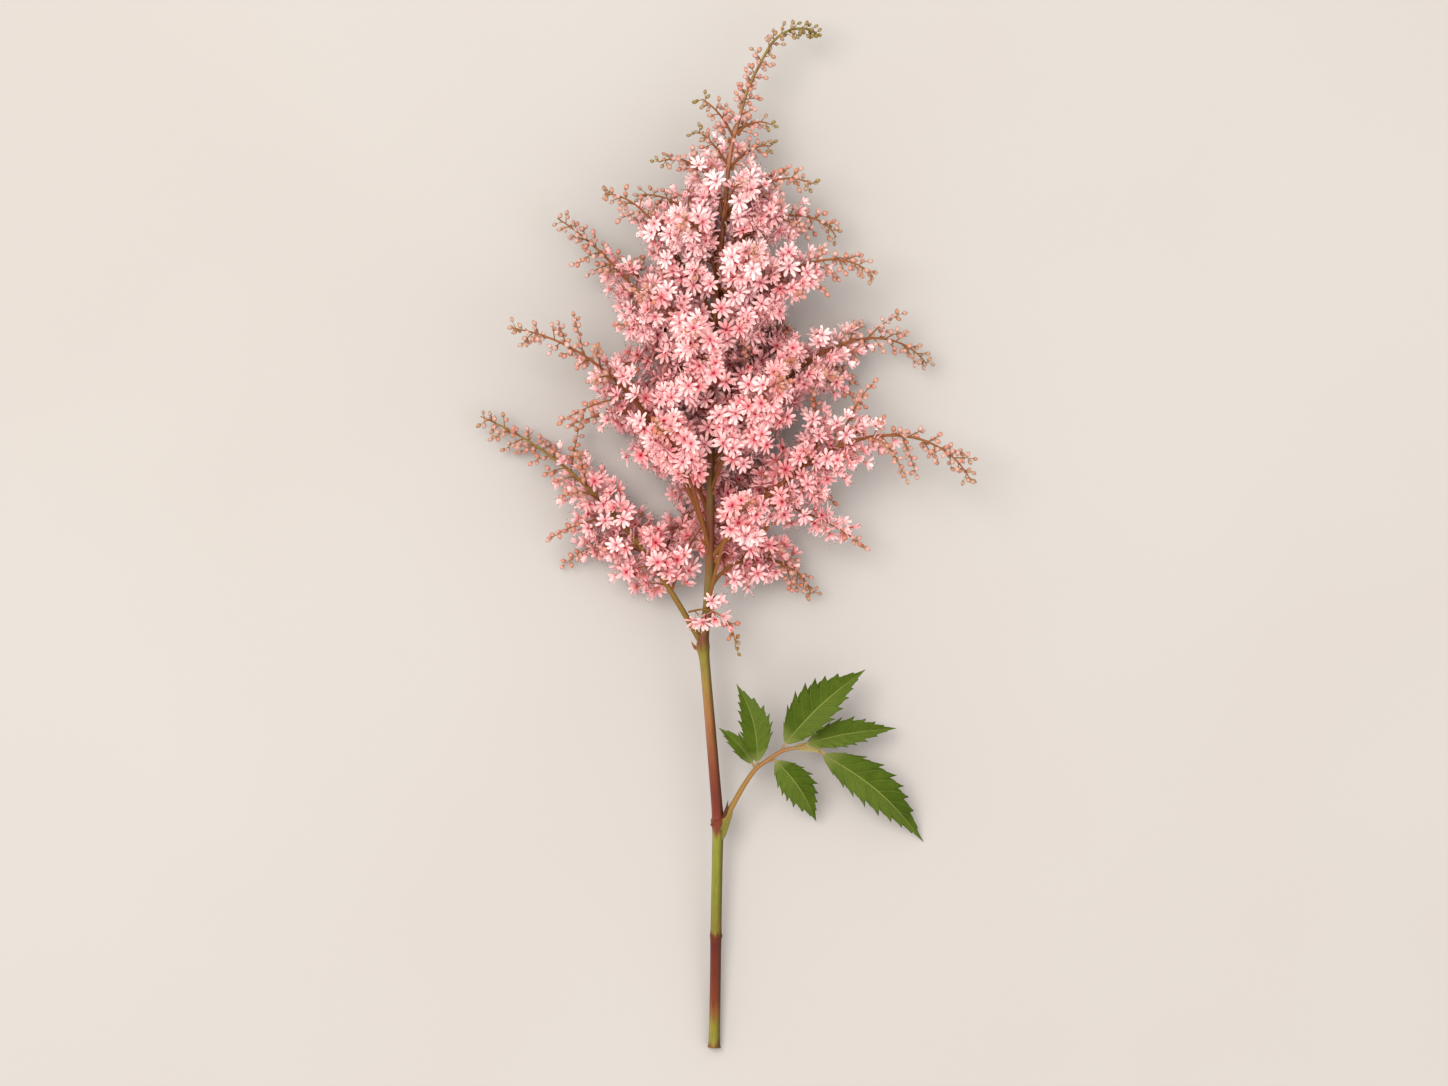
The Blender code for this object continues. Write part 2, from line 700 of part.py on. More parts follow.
def side_stalk(leaflet):
    """The short stalk from the leaf's main stalk to just short of a leaflet's foot."""
    foot = np.array(leaflet.foot)
    heading = unit(np.array(leaflet.tip) - foot)
    points = (
        np.array(LEAF_STALK[leaflet.joint][:3]),
        foot - (SEAT_GAP + SIDE_STALK_STRAIGHT) * heading,
        foot - SEAT_GAP * heading,
    )
    return tube(np.array(points), SIDE_STALK_RADII, STALK_SIDES)


def build_leaf(space, number):
    rows = np.array(LEAF_STALK)
    space.take(path_rods(rows[:, :3], rows[:, 3]), number)
    main_stalk = tube(rows[:, :3], rows[:, 3], STALK_SIDES)
    side_stalks = [side_stalk(leaflet) for leaflet in LEAFLETS]
    paint(fuse("leaf_stalk", [main_stalk] + side_stalks), "leaf_stalk")
    for leaflet in LEAFLETS:
        blade = new_object(leaflet.name, *leaflet_blade(leaflet), bpy.context.scene.collection)
        paint(blade, "leaf")


def build_stem(space):
    """The stem and the axis of the plume, with beads for the buds of its nodding tip."""
    rows = np.array(STEM_POINTS)
    bare = rows[rows[:, 1] < TIP_BUDS_FROM]
    side = np.array((1.0, 0.0, 0.0))
    ways = np.gradient(bare[:, :3], axis=0)
    sections = [
        section(row[:3], unit(way), side, [row[3]] * STEM_SIDES, spin=180 / STEM_SIDES)
        for row, way in zip(bare, ways)
    ]
    sections[0][:, 2] = np.maximum(sections[0][:, 2], 0)
    space.take(path_rods(rows[:, :3], rows[:, 3]), 0)
    nodding = smooth_path(rows[len(bare) - 1:, :3], TIP_STEPS)
    length = np.linalg.norm(np.diff(nodding, axis=0), axis=1).sum()
    count = round((length - FIRST_BUD_AT) / BUD_SPACING)
    for place, share in enumerate(np.linspace(FIRST_BUD_AT / length, 1, count)):
        point, way = along_path(nodding, share)
        outward = around(way, place * GOLDEN_ANGLE)
        centre = point + BUD_OFFSET * outward
        beads, rods = bud_sections(centre, way, around(way, 0), place == count - 1)
        sections += beads
        space.take(rods, 0)
    vertices, faces = loft(sections)
    paint(new_object("stem", vertices, faces, bpy.context.scene.collection), "stem")


def main():
    for piece in list(bpy.data.objects):
        bpy.data.objects.remove(piece)
    space = TakenSpace()
    build_stem(space)
    build_leaf(space, len(SPRAYS) + 1)
    build_sprays(space)


main()
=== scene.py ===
# %% [markdown]
# # A cut stem of astilbe
#
# One flowering stem lies on a table: a woody-looking green and red stalk, one compound toothed leaf,
# and a feathery plume of some two and a half thousand tiny pink florets. The solids already say
# where every spray and leaflet is. This lesson gives each of them its real, much finer surface.
#
# Almost everything on this plant is one kind of surface: rings of points carried along a line, closed
# at both ends in a point. Stalks, petals, stamens and buds differ only in their rings.

# %% Load the frame
import math
from collections import namedtuple

import bpy
import numpy as np
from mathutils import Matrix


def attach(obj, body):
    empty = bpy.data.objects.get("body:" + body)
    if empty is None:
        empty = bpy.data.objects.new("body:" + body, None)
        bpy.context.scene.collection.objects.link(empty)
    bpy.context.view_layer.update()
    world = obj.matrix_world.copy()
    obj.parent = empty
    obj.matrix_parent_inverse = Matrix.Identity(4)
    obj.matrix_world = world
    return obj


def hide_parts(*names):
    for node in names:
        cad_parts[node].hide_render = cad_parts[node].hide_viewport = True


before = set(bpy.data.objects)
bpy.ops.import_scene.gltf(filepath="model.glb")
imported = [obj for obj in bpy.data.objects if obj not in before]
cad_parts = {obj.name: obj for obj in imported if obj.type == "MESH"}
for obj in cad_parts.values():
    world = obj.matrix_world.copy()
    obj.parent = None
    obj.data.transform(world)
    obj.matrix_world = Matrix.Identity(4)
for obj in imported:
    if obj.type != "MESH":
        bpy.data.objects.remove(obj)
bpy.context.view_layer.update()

# %% [markdown]
# ## Units and the camera
#
# Every length below is in millimetres, as on the plant, and becomes metres when a mesh is made. The
# stem is laid down, so the camera looks straight down on it and sees what a front view of the
# standing stem shows. A long lens far away keeps the scale the same all over the picture.

# %% Camera
MM = 0.001
PHOTO_WIDTH = 1448
PHOTO_HEIGHT = 1086
MM_PER_PIXEL = 0.4
ORIGIN_PIXEL = (722.5, 537.0)
AXIS_HEIGHT = 25.0
CAMERA_DISTANCE = 2500.0
SENSOR_WIDTH = 36.0

camera_data = bpy.data.cameras.new("camera")
camera_data.sensor_width = SENSOR_WIDTH
camera_data.lens = SENSOR_WIDTH * CAMERA_DISTANCE / (PHOTO_WIDTH * MM_PER_PIXEL)
camera = bpy.data.objects.new("camera", camera_data)
camera.location = (
    (PHOTO_WIDTH / 2 - ORIGIN_PIXEL[0]) * MM_PER_PIXEL * MM,
    (ORIGIN_PIXEL[1] - PHOTO_HEIGHT / 2) * MM_PER_PIXEL * MM,
    (AXIS_HEIGHT + CAMERA_DISTANCE) * MM,
)
bpy.context.scene.collection.objects.link(camera)
bpy.context.scene.camera = camera
print("lens", round(camera_data.lens, 1), "mm")

# %% [markdown]
# ## Colours
#
# Colours are written as a painter's hex codes and turned into the linear light that shaders use. A
# ramp holds the colours of one finish in order. The stem's and the leaf's codes say how a lit surface
# looks, so they are divided by how strongly the lamps light it.

# %% Helpers for materials
LIT = 2.3


def linear(code, light=1.0):
    """A hex colour as linear red, green, blue and 1, by the standard two-part curve."""
    parts = np.array([int(code[k:k + 2], 16) / 255 for k in (1, 3, 5)])
    parts = np.where(parts <= 0.04045, parts / 12.92, ((parts + 0.055) / 1.055) ** 2.4)
    return (*(parts / light), 1.0)


class Finish:
    """A Principled material with short calls for the nodes that drive it."""

    def __init__(self, name, **constants):
        self.material = bpy.data.materials.new(name)
        self.material.use_nodes = True
        self.tree = self.material.node_tree
        self.shader = self.tree.nodes["Principled BSDF"]
        for socket, value in constants.items():
            self.shader.inputs[socket.replace("_", " ")].default_value = value

    def join(self, source, target):
        self.tree.links.new(source, target)

    def node(self, kind, **settings):
        made = self.tree.nodes.new(kind)
        for name, value in settings.items():
            setattr(made, name, value)
        return made

    def attribute(self, name):
        return self.node("ShaderNodeAttribute", attribute_name=name).outputs["Fac"]

    def object_place(self, scale=(1.0, 1.0, 1.0)):
        """Object coordinates, stretched by the given scale."""
        place = self.node("ShaderNodeTexCoord").outputs["Object"]
        mapping = self.node("ShaderNodeMapping")
        mapping.inputs["Scale"].default_value = scale
        self.join(place, mapping.inputs["Vector"])
        return mapping.outputs["Vector"]

    def grain(self, stretch=(1.0, 1.0, 1.0), scale=1.0, detail=3.0):
        """Noise on stretched Object coordinates."""
        place = self.object_place(stretch)
        made = self.node("ShaderNodeTexNoise")
        made.inputs["Scale"].default_value = scale
        made.inputs["Detail"].default_value = detail
        self.join(place, made.inputs["Vector"])
        return made.outputs["Fac"]

    def ramp(self, source, stops, light=1.0):
        """A colour ramp through (place, hex colour) stops."""
        made = self.node("ShaderNodeValToRGB")
        line = made.color_ramp
        while len(line.elements) < len(stops):
            line.elements.new(0.5)
        for element, (place, code) in zip(line.elements, stops):
            element.position = place
            element.color = linear(code, light)
        self.join(source, made.inputs["Fac"])
        return made.outputs["Color"]

    def span(self, source, low, high, to_low=0.0, to_high=1.0):
        """Maps low..high onto to_low..to_high and clamps it there."""
        made = self.node("ShaderNodeMapRange")
        for socket, value in zip(made.inputs[1:5], (low, high, to_low, to_high)):
            socket.default_value = value
        self.join(source, made.inputs[0])
        return made.outputs[0]

    def maths(self, operation, first, second):
        """One Math node. Either operand may be a number."""
        made = self.node("ShaderNodeMath", operation=operation)
        for socket, value in zip(made.inputs, (first, second)):
            if isinstance(value, (int, float)):
                socket.default_value = value
            else:
                self.join(value, socket)
        return made.outputs[0]

    def mix(self, share, first, second):
        """Mixes two colours by a share. The share and the colours may be constants."""
        made = self.node("ShaderNodeMix", data_type="RGBA")
        for place, value in ((0, share), (6, first), (7, second)):
            if isinstance(value, (int, float, tuple)):
                made.inputs[place].default_value = value
            else:
                self.join(value, made.inputs[place])
        return made.outputs[2]

    def tinge(self, colour, share, code):
        """Mixes the hex colour of a lit surface into a colour by a share."""
        return self.mix(share, colour, linear(code, LIT))

    def shade(self, colour, value, saturation=1.0):
        """Darkens or lightens a colour by a value, and may change its strength."""
        made = self.node("ShaderNodeHueSaturation")
        self.join(colour, made.inputs["Color"])
        for name, setting in (("Value", value), ("Saturation", saturation)):
            if isinstance(setting, float):
                made.inputs[name].default_value = setting
            else:
                self.join(setting, made.inputs[name])
        return made.outputs["Color"]

    def bump(self, height, distance, strength=0.5):
        made = self.node("ShaderNodeBump")
        made.inputs["Strength"].default_value = strength
        made.inputs["Distance"].default_value = distance * MM
        self.join(height, made.inputs["Height"])
        self.join(made.outputs["Normal"], self.shader.inputs["Normal"])

    def colour(self, source):
        self.join(source, self.shader.inputs["Base Color"])


# %% [markdown]
# ## Lines and skins
#
# A skin is a stack of rings closed by a point at each end. Thousands of petals are made at once: one
# array holds all their rings, and one table of faces, shifted for each copy, joins them.

# %% Helpers for lines and closed skins
Skin = namedtuple("Skin", "points quads triangles chart youth tint")
UP_THE_STEM = np.array((0.0, 1.0, 0.0))
OFF_THE_TABLE = np.array((0.0, 0.0, 1.0))


def unit(vectors):
    """Each vector divided by its own length."""
    return vectors / np.linalg.norm(vectors, axis=-1, keepdims=True)


def across(ways):
    """Two unit vectors square to each direction and to each other. The cross product with Z gives the
    first, or with X where the direction is within 26 degrees of Z."""
    upright = np.abs(ways[..., 2:]) > 0.9
    helper = np.where(upright, (1.0, 0.0, 0.0), OFF_THE_TABLE)
    first = unit(np.cross(ways, helper))
    return first, np.cross(ways, first)


def turned(ways, degrees):
    """A unit vector square to each direction, turned about it by an angle."""
    first, second = across(ways)
    angles = np.radians(degrees)[..., None]
    return np.cos(angles) * first + np.sin(angles) * second


def shifted(faces, copies, stride):
    """A table of faces repeated for each copy, whose points follow at a fixed stride."""
    starts = stride * np.arange(copies)[:, None, None]
    return (faces[None] + starts).reshape(-1, faces.shape[1])


def skins(rings, first_poles, last_poles, chart, youth=0.0, tint=0.5):
    """Closed skins. rings is (copies, stations, sides, 3) and a pole is (copies, 3).

    chart, youth and tint are one number for each point or for each copy, or one for all. chart has a
    value for each station, with its poles first and last.
    """
    copies, stations, sides = rings.shape[:3]
    points = np.concatenate(
        (first_poles[:, None], rings.reshape(copies, stations * sides, 3), last_poles[:, None]), axis=1
    )
    ring = np.arange(sides)
    after = (ring + 1) % sides
    starts = 1 + sides * np.arange(stations - 1)[:, None]
    quads = np.stack((starts + ring, starts + after, starts + sides + after, starts + sides + ring), -1)
    last = 1 + sides * (stations - 1)
    low = np.stack((np.zeros(sides, int), 1 + after, 1 + ring), -1)
    high = np.stack((last + ring, last + after, np.full(sides, last + sides)), -1)
    stride = points.shape[1]
    chart = np.broadcast_to(np.asarray(chart, float), (copies, stations + 2))
    chart = np.concatenate((chart[:, :1], np.repeat(chart[:, 1:-1], sides, 1), chart[:, -1:]), 1)
    per_copy = [
        np.broadcast_to(np.asarray(value, float).reshape(-1, 1), (copies, stride)).ravel()
        for value in (youth, tint)
    ]
    return Skin(
        points.reshape(-1, 3),
        shifted(quads.reshape(-1, 4), copies, stride),
        shifted(np.vstack((low, high)), copies, stride),
        chart.ravel(),
        *per_copy,
    )


def straps(lines, first_sides, half_widths, half_depths, sides, chart, youth=0.0, tint=0.5):
    """Oval stalks or flat straps along lines (copies, stations, 3).

    Each ring is square to the line. Its wide way is as near to first_sides as that allows.
    """
    ways = unit(np.gradient(lines, axis=1))
    wide = first_sides[:, None]
    wide = unit(wide - ways * (wide * ways).sum(-1, keepdims=True))
    deep = np.cross(ways, wide)
    angles = math.tau * np.arange(sides) / sides
    rings = (
        lines[:, :, None]
        + (half_widths[..., None] * np.cos(angles))[..., None] * wide[:, :, None]
        + (half_depths[..., None] * np.sin(angles))[..., None] * deep[:, :, None]
    )
    return skins(rings, lines[:, 0], lines[:, -1], chart, youth, tint)


def tubes(lines, radii, sides, chart, youth=0.0, tint=0.5):
    """Round stalks with a radius for each station.

    The first side of each ring lies square to the plane in which the line bends, so the rings never
    twist. A small share of another side settles it where the line is straight.
    """
    ways = unit(np.gradient(lines, axis=1)[:, (0, -1)])
    bend = np.cross(ways[:, 0], ways[:, 1]) + 0.02 * across(ways[:, 0])[0]
    return straps(lines, unit(bend), radii, radii, sides, chart, youth, tint)


def smooth_line(rows, steps):
    """A Catmull-Rom curve through rows of numbers, with the given steps between two rows."""
    rows = np.asarray(rows, float)
    padded = np.vstack((2 * rows[0] - rows[1], rows, 2 * rows[-1] - rows[-2]))
    before, here, ahead, beyond = padded[:-3], padded[1:-2], padded[2:-1], padded[3:]
    t = (np.arange(steps) / steps)[:, None, None]
    curve = 0.5 * (
        2 * here
        + (ahead - before) * t
        + (2 * before - 5 * here + 4 * ahead - beyond) * t**2
        + (3 * here - before - 3 * ahead + beyond) * t**3
    )
    return np.vstack((curve.transpose(1, 0, 2).reshape(-1, rows.shape[1]), rows[-1]))


def at_share(line, shares):
    """Points and directions at shares of one line's stations."""
    places = np.clip(shares, 0, 1) * (len(line) - 1)
    low = np.minimum(places.astype(int), len(line) - 2)
    steps = line[low + 1] - line[low]
    return line[low] + (places - low)[:, None] * steps, unit(steps)


def lifted(points, clearance, softness):
    """Heights eased up near the table, so that nothing goes under it: half of h plus hypot(h, s)."""
    height = points[..., 2] - clearance
    eased = points.copy()
    eased[..., 2] = clearance + 0.5 * (height + np.hypot(height, softness))
    return eased


# %% Put skins into one object
PRESS = 0.35
SHARP_ANGLE = math.radians(75)


def add_mesh(name, points, faces, fields, finish, slot, *nodes):
    """One object at the origin. fields are numbers for each point, by name.

    Edges sharper than SHARP_ANGLE stay sharp, so that a petal's flat face is lit as a flat face.
    """
    mesh = bpy.data.meshes.new(name)
    mesh.from_pydata((points * MM).tolist(), [], faces)
    for field, values in fields.items():
        mesh.attributes.new(field, "FLOAT", "POINT").data.foreach_set("value", values)
    mesh.shade_smooth()
    mesh.set_sharp_from_angle(angle=SHARP_ANGLE)
    mesh.materials.append(finish.material)
    piece = bpy.data.objects.new(name, mesh)
    bpy.context.scene.collection.objects.link(piece)
    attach(piece, "root")
    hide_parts(*nodes)
    return piece


def add_piece(name, parts, finish, slot, *nodes):
    """Joins skins into one object, pressed up where they would sink into the table."""
    counts = np.cumsum([0] + [len(part.points) for part in parts])
    points = lifted(np.vstack([part.points for part in parts]), 0.0, PRESS)
    faces = []
    for start, part in zip(counts, parts):
        faces += (part.quads + start).tolist() + (part.triangles + start).tolist()
    fields = {
        field: np.concatenate([getattr(part, field) for part in parts])
        for field in ("chart", "youth", "tint")
    }
    return add_mesh(name, points, faces, fields, finish, slot, *nodes)


def triangle_count(piece):
    """A polygon of n corners is n - 2 triangles."""
    return sum(len(polygon.vertices) - 2 for polygon in piece.data.polygons)


# %% [markdown]
# ## The stem
#
# The stem is a solid stalk about 4.4 mm thick. It is swollen at its joints: a ring low down, the
# collar where the leaf grows, and the fork where the plume begins. It could be a curve with a bevel,
# but its thickness changes in short steps, so rings with a radius of their own follow it better. Up in
# the plume it thins and nods over at the tip.

# %% Stem points, as in the solids
STEM_POINTS = (
    (-3.4, -205.8, 2.45, 2.75),
    (-3.3, -202.5, 2.9, 2.3),
    (-2.9, -180.0, 5.7, 2.2),
    (-2.7, -163.5, 7.6, 2.25),
    (-2.6, -160.5, 8.0, 2.6),
    (-2.6, -157.0, 8.4, 2.25),
    (-2.1, -130.0, 11.4, 2.2),
    (-1.8, -118.5, 12.6, 2.35),
    (-1.8, -114.0, 13.1, 2.95),
    (-2.1, -109.5, 13.6, 2.3),
    (-4.6, -79.0, 16.9, 2.1),
    (-7.0, -51.0, 19.9, 2.05),
    (-7.8, -44.0, 20.6, 2.7),
    (-7.3, -38.5, 21.2, 2.0),
    (-5.6, -23.0, 22.8, 1.9),
    (-5.0, 1.0, 25.1, 1.75),
    (-4.6, 32.0, 27.4, 1.5),
    (-3.8, 66.0, 29.0, 1.3),
    (-1.8, 103.0, 29.6, 1.1),
    (0.8, 129.0, 29.2, 0.95),
    (3.0, 152.0, 28.4, 0.8),
    (7.0, 168.5, 27.6, 0.7),
    (10.2, 179.0, 27.0, 0.65),
    (14.4, 188.0, 26.4, 0.6),
    (20.2, 198.0, 25.6, 0.55),
    (26.5, 202.6, 24.8, 0.5),
    (33.0, 203.4, 24.0, 0.5),
    (37.6, 201.6, 23.4, 0.5),
)
STEM_SIDES = 24
STEM_STEPS = 6

stem_rows = smooth_line(STEM_POINTS, STEM_STEPS)
stem_line, stem_radii = stem_rows[:, :3], stem_rows[:, 3]
stem_skin = tubes(stem_line[None], stem_radii[None], STEM_SIDES, np.zeros(len(stem_line) + 2))


def each_point(values):
    """One value for each station, spread over the points of a skin with STEM_SIDES sides."""
    return np.concatenate((values[:1], np.repeat(values, STEM_SIDES), values[-1:]))


def stem_at(y):
    """The axis's point and the stem's radius at one height along the stem, or at each of several."""
    rows = np.array(STEM_POINTS)
    rows = rows[: int(rows[:, 1].argmax()) + 1]
    return np.stack([np.interp(y, rows[:, 1], column) for column in rows.T], -1)


def stem_point(y):
    """The axis's point alone."""
    return stem_at(y)[..., :3]


# The stem's tint holds its place across, 0 on the left to 1 on the right. The stem finish bends its
# bands by it, and by it paints light on the left and shade on the right.
from_axis = stem_skin.points[:, 0] - each_point(stem_line[:, 0])
stem_skin = stem_skin._replace(tint=0.5 + 0.5 * from_axis / each_point(stem_radii))
print("stem length", round(np.linalg.norm(np.diff(stem_line, axis=0), axis=1).sum()), "mm")

# %% [markdown]
# ### The collar and its stipules
#
# The leaf stalk clasps the stem with a fleshy collar. Its upper rim is a fine ridge, low on the far
# side and rising towards the leaf, and it ends in narrow points called stipules. The ridge is a closed
# tube round the stem whose height is a cosine of the angle. It could have been cut into the stem's
# skin, but as a skin of its own it stays sharp with few faces.

# %% Collar and stipules
COLLAR_HEIGHT = -113.2
COLLAR_RISE = 1.7
COLLAR_RADIUS = 2.72
COLLAR_STATIONS = 40
COLLAR_THICKNESS = 0.42
COLLAR_CORNERS = ((1.0, 0.0), (0.0, -2.2), (-1.5, 0.0), (0.0, 0.6))
COLLAR_COLOUR = 0.03
# The collar's place across the stem for the stem finish: near the left, so it gets a little painted
# light.
COLLAR_TINT = 0.3
STIPULE = ((0.3, -113.0, 15.4), (1.1, -110.8, 16.1), (1.8, -108.2, 16.5), (2.2, -105.6, 16.7))
STIPULE_HALF_WIDTH = 0.75
SHEATH_LOBE = ((-0.2, -121.5, 13.8), (1.5, -115.2, 14.8), (2.9, -112.5, 15.1), (4.2, -110.2, 15.5))
SHEATH_LOBE_HALF_WIDTH = 1.35
STRAP_STEPS = 5
STRAP_SIDES = 8


def pointed_strap(points, half_width, half_depth, chart, tint=0.5):
    """A narrow leaf-like strap. Its half width is the sine of pi times the share to the power 0.6, so
    it is widest before its middle, and it ends in a point."""
    rows = smooth_line(points, STRAP_STEPS)
    shares = np.linspace(0.03, 1, len(rows))
    profile = np.sin(np.pi * shares**0.6)[None] + 0.02
    side = np.cross(rows[-1] - rows[0], OFF_THE_TABLE)[None]
    half_widths, half_depths = half_width * profile, half_depth * profile
    return straps(rows[None], side, half_widths, half_depths, STRAP_SIDES, chart, 0.0, tint)


def collar_skin():
    """A ring round the stem that is highest towards +X, where the leaf leaves it.

    COLLAR_CORNERS are the four corners of its section, as thicknesses outward and up the stem.
    """
    angles = math.tau * np.arange(COLLAR_STATIONS) / COLLAR_STATIONS
    ways = np.stack((np.cos(angles), np.zeros(COLLAR_STATIONS), np.sin(angles)), -1)
    rise = COLLAR_RISE * (np.cos(angles) - 0.3)[:, None] * UP_THE_STEM
    ridge = stem_point(COLLAR_HEIGHT) + COLLAR_RADIUS * ways + rise
    corners = [COLLAR_THICKNESS * (out * ways + up * UP_THE_STEM) for out, up in COLLAR_CORNERS]
    points = np.stack([ridge + corner for corner in corners], 1)
    index = np.arange(4 * COLLAR_STATIONS).reshape(COLLAR_STATIONS, 4)
    after, beside = np.roll(index, -1, axis=0), np.roll(index, -1, axis=1)
    quads = np.stack((index, beside, np.roll(after, -1, axis=1), after), -1).reshape(-1, 4)
    same = np.ones(4 * COLLAR_STATIONS)
    no_triangles = np.zeros((0, 3), int)
    fields = (COLLAR_COLOUR * same, 0 * same, COLLAR_TINT * same)
    return Skin(points.reshape(-1, 3), quads, no_triangles, *fields)


# %% [markdown]
# ### The stem's colours
#
# The colour changes along the stem: olive green at the cut, dark red up to the first joint, green
# again, a red collar at the leaf, then red-brown fading to green at the fork and to coral in the
# plume. The place along the stem is simply its Y in Object coordinates. Bands end in a V, so the place
# also falls away to both sides of the stem. Stretched noise draws the fine lengthwise fibres. Light
# and shade are painted across the stem: painted light makes the left side lighter, and painted shade
# makes the right side darker and more olive.

# %% Stem finish
STEM_START = -206.0
STEM_END = 206.0
STEM_COLOURS = (
    (-206.0, "#8a5a24"),
    (-204.6, "#9a922e"),
    (-197.5, "#968a28"),
    (-194.0, "#9a6428"),
    (-188.0, "#843616"),
    (-164.0, "#6c1e0c"),
    (-161.0, "#762c14"),
    (-159.6, "#8c8024"),
    (-148.0, "#8c8a22"),
    (-122.0, "#989a30"),
    (-119.0, "#8c4a28"),
    (-113.0, "#88321e"),
    (-104.0, "#7e301c"),
    (-92.0, "#8e4624"),
    (-72.0, "#b0743c"),
    (-60.0, "#a8883a"),
    (-48.0, "#96902c"),
    (-43.0, "#7c3e20"),
    (-41.0, "#7c3e20"),
    (-37.0, "#88802c"),
    (-18.0, "#8c7030"),
    (-6.0, "#904e2a"),
    (4.0, "#8c482a"),
    (16.0, "#84662e"),
    (40.0, "#9c5c34"),
    (100.0, "#bb7048"),
    (160.0, "#cc8460"),
    (178.0, "#bd9450"),
    (206.0, "#968f3c"),
)
BAND_POINT = 4.0
BLUSH = "#8f4526"
# The dark olive of painted shade on the stem's right side.
PAINTED_SHADE_SIDE = "#5f4a1c"


def stem_place(finish, side):
    """Y along the stem as 0 at the cut and 1 at the tip, less at both sides, and a little uneven."""
    place = finish.object_place()
    split = finish.node("ShaderNodeSeparateXYZ")
    finish.join(place, split.inputs["Vector"])
    uneven = finish.grain((900.0, 60.0, 900.0))
    shift = finish.span(uneven, 0.3, 0.7, -1.5 * MM, 1.5 * MM)
    along = finish.maths("ADD", split.outputs["Y"], shift)
    off_middle = finish.maths("ABSOLUTE", finish.maths("SUBTRACT", side, 0.4), 0.0)
    along = finish.maths("SUBTRACT", along, finish.maths("MULTIPLY", off_middle, BAND_POINT * MM))
    return finish.span(along, STEM_START * MM, STEM_END * MM)


def stem_finish():
    finish = Finish(
        "stem skin", Roughness=0.45, Specular_IOR_Level=0.15, Subsurface_Weight=0.02,
        Subsurface_Scale=1.0 * MM,
    )
    side = finish.attribute("tint")
    stops = [((y - STEM_START) / (STEM_END - STEM_START), code) for y, code in STEM_COLOURS]
    colour = finish.ramp(stem_place(finish, side), stops, LIT)
    blush = finish.grain((160.0, 12.0, 160.0))
    colour = finish.tinge(colour, finish.span(blush, 0.5, 0.75, 0.0, 0.3), BLUSH)
    # Painted shade: towards the right side the stem is tinged dark olive and darkened.
    colour = finish.tinge(colour, finish.span(side, 0.55, 1.0, 0.0, 0.45), PAINTED_SHADE_SIDE)
    colour = finish.shade(colour, finish.span(side, 0.5, 1.0, 1.0, 0.55))
    # Painted light: towards the left side the stem is lightened and made paler.
    painted_light_side = (finish.span(side, 0.0, 0.35, 1.35, 1.0), finish.span(side, 0.0, 0.35, 0.8, 1.0))
    colour = finish.shade(colour, *painted_light_side)
    fibres = finish.grain((2400.0, 40.0, 2400.0), detail=5.0)
    colour = finish.shade(colour, finish.span(fibres, 0.3, 0.7, 0.84, 1.16))
    finish.colour(colour)
    finish.bump(fibres, 0.12)
    return finish


# A tint of 0.95 puts the stipule on the stem's right, where the stem finish paints shade.
stipule = pointed_strap(STIPULE, STIPULE_HALF_WIDTH, 0.25, COLLAR_COLOUR, 0.95)
stem = add_piece("stem_skin", [stem_skin, collar_skin(), stipule], stem_finish(), "stem", "stem")
print("stem triangles", triangle_count(stem))

# %% [markdown]
# ## Florets
#
# An open floret is about 9 mm across: narrow spoon-shaped petals round a red middle, stamens with
# small dark anthers that stand out between them, and a small cup of sepals behind. It could be one
# mesh that is copied, but then every floret would be the same. Here each petal's place is a formula
# of its floret's direction, turn, size and openness, and all the petals of a spray are worked out
# together. A petal has three sides: a flat face, and a shallow keel under it.

# %% Petals and stamens
PETALS = 8
PETAL_LENGTH = 4.5
PETAL_STATIONS = np.array((0.22, 0.6, 0.9))
PETAL_HALF_WIDTHS = np.array((0.34, 0.74, 0.54))
PETAL_DEPTHS = np.array((0.26, 0.2, 0.12))
PETAL_CHART = (0.0, 0.1, 0.2, 0.28, 0.34)
PETAL_STRAY_TURN = 9
PETAL_LIFT_OPEN = 18
PETAL_LIFT_SHUT = 80
PETAL_STRAY_LIFT = 10
PETAL_LENGTHS = (0.88, 1.1)
PETAL_CURLS = (-0.12, 0.22)
STAMENS = 5
STAMEN_LENGTH = 4.6
STAMEN_LENGTHS = (0.82, 1.12)
STAMEN_STRAY_TURN = 22
STAMEN_LEANS = (18, 72)
STAMEN_STATIONS = np.array((0.88, 0.95))
STAMEN_RADII = np.array((0.09, 0.32))
STAMEN_CHART = (0.40, 0.44, 0.50, 0.50)
STAMEN_SIDES = 3

Heads = namedtuple("Heads", "points ways spins sizes openness youth tint")


def spokes_round(side, other, sides):
    """Even spokes round a line, from two unit vectors square to it."""
    angles = math.tau * np.arange(sides) / sides
    return np.cos(angles)[:, None] * side + np.sin(angles)[:, None] * other


def spread_round(heads, count, stray, draw):
    """Turns of a floret's petals or stamens: even steps of a circle, each with a stray turn."""
    stray_turns = draw.uniform(-stray, stray, (len(heads.points), count))
    return heads.spins[:, None] + 360 / count * np.arange(count) + stray_turns


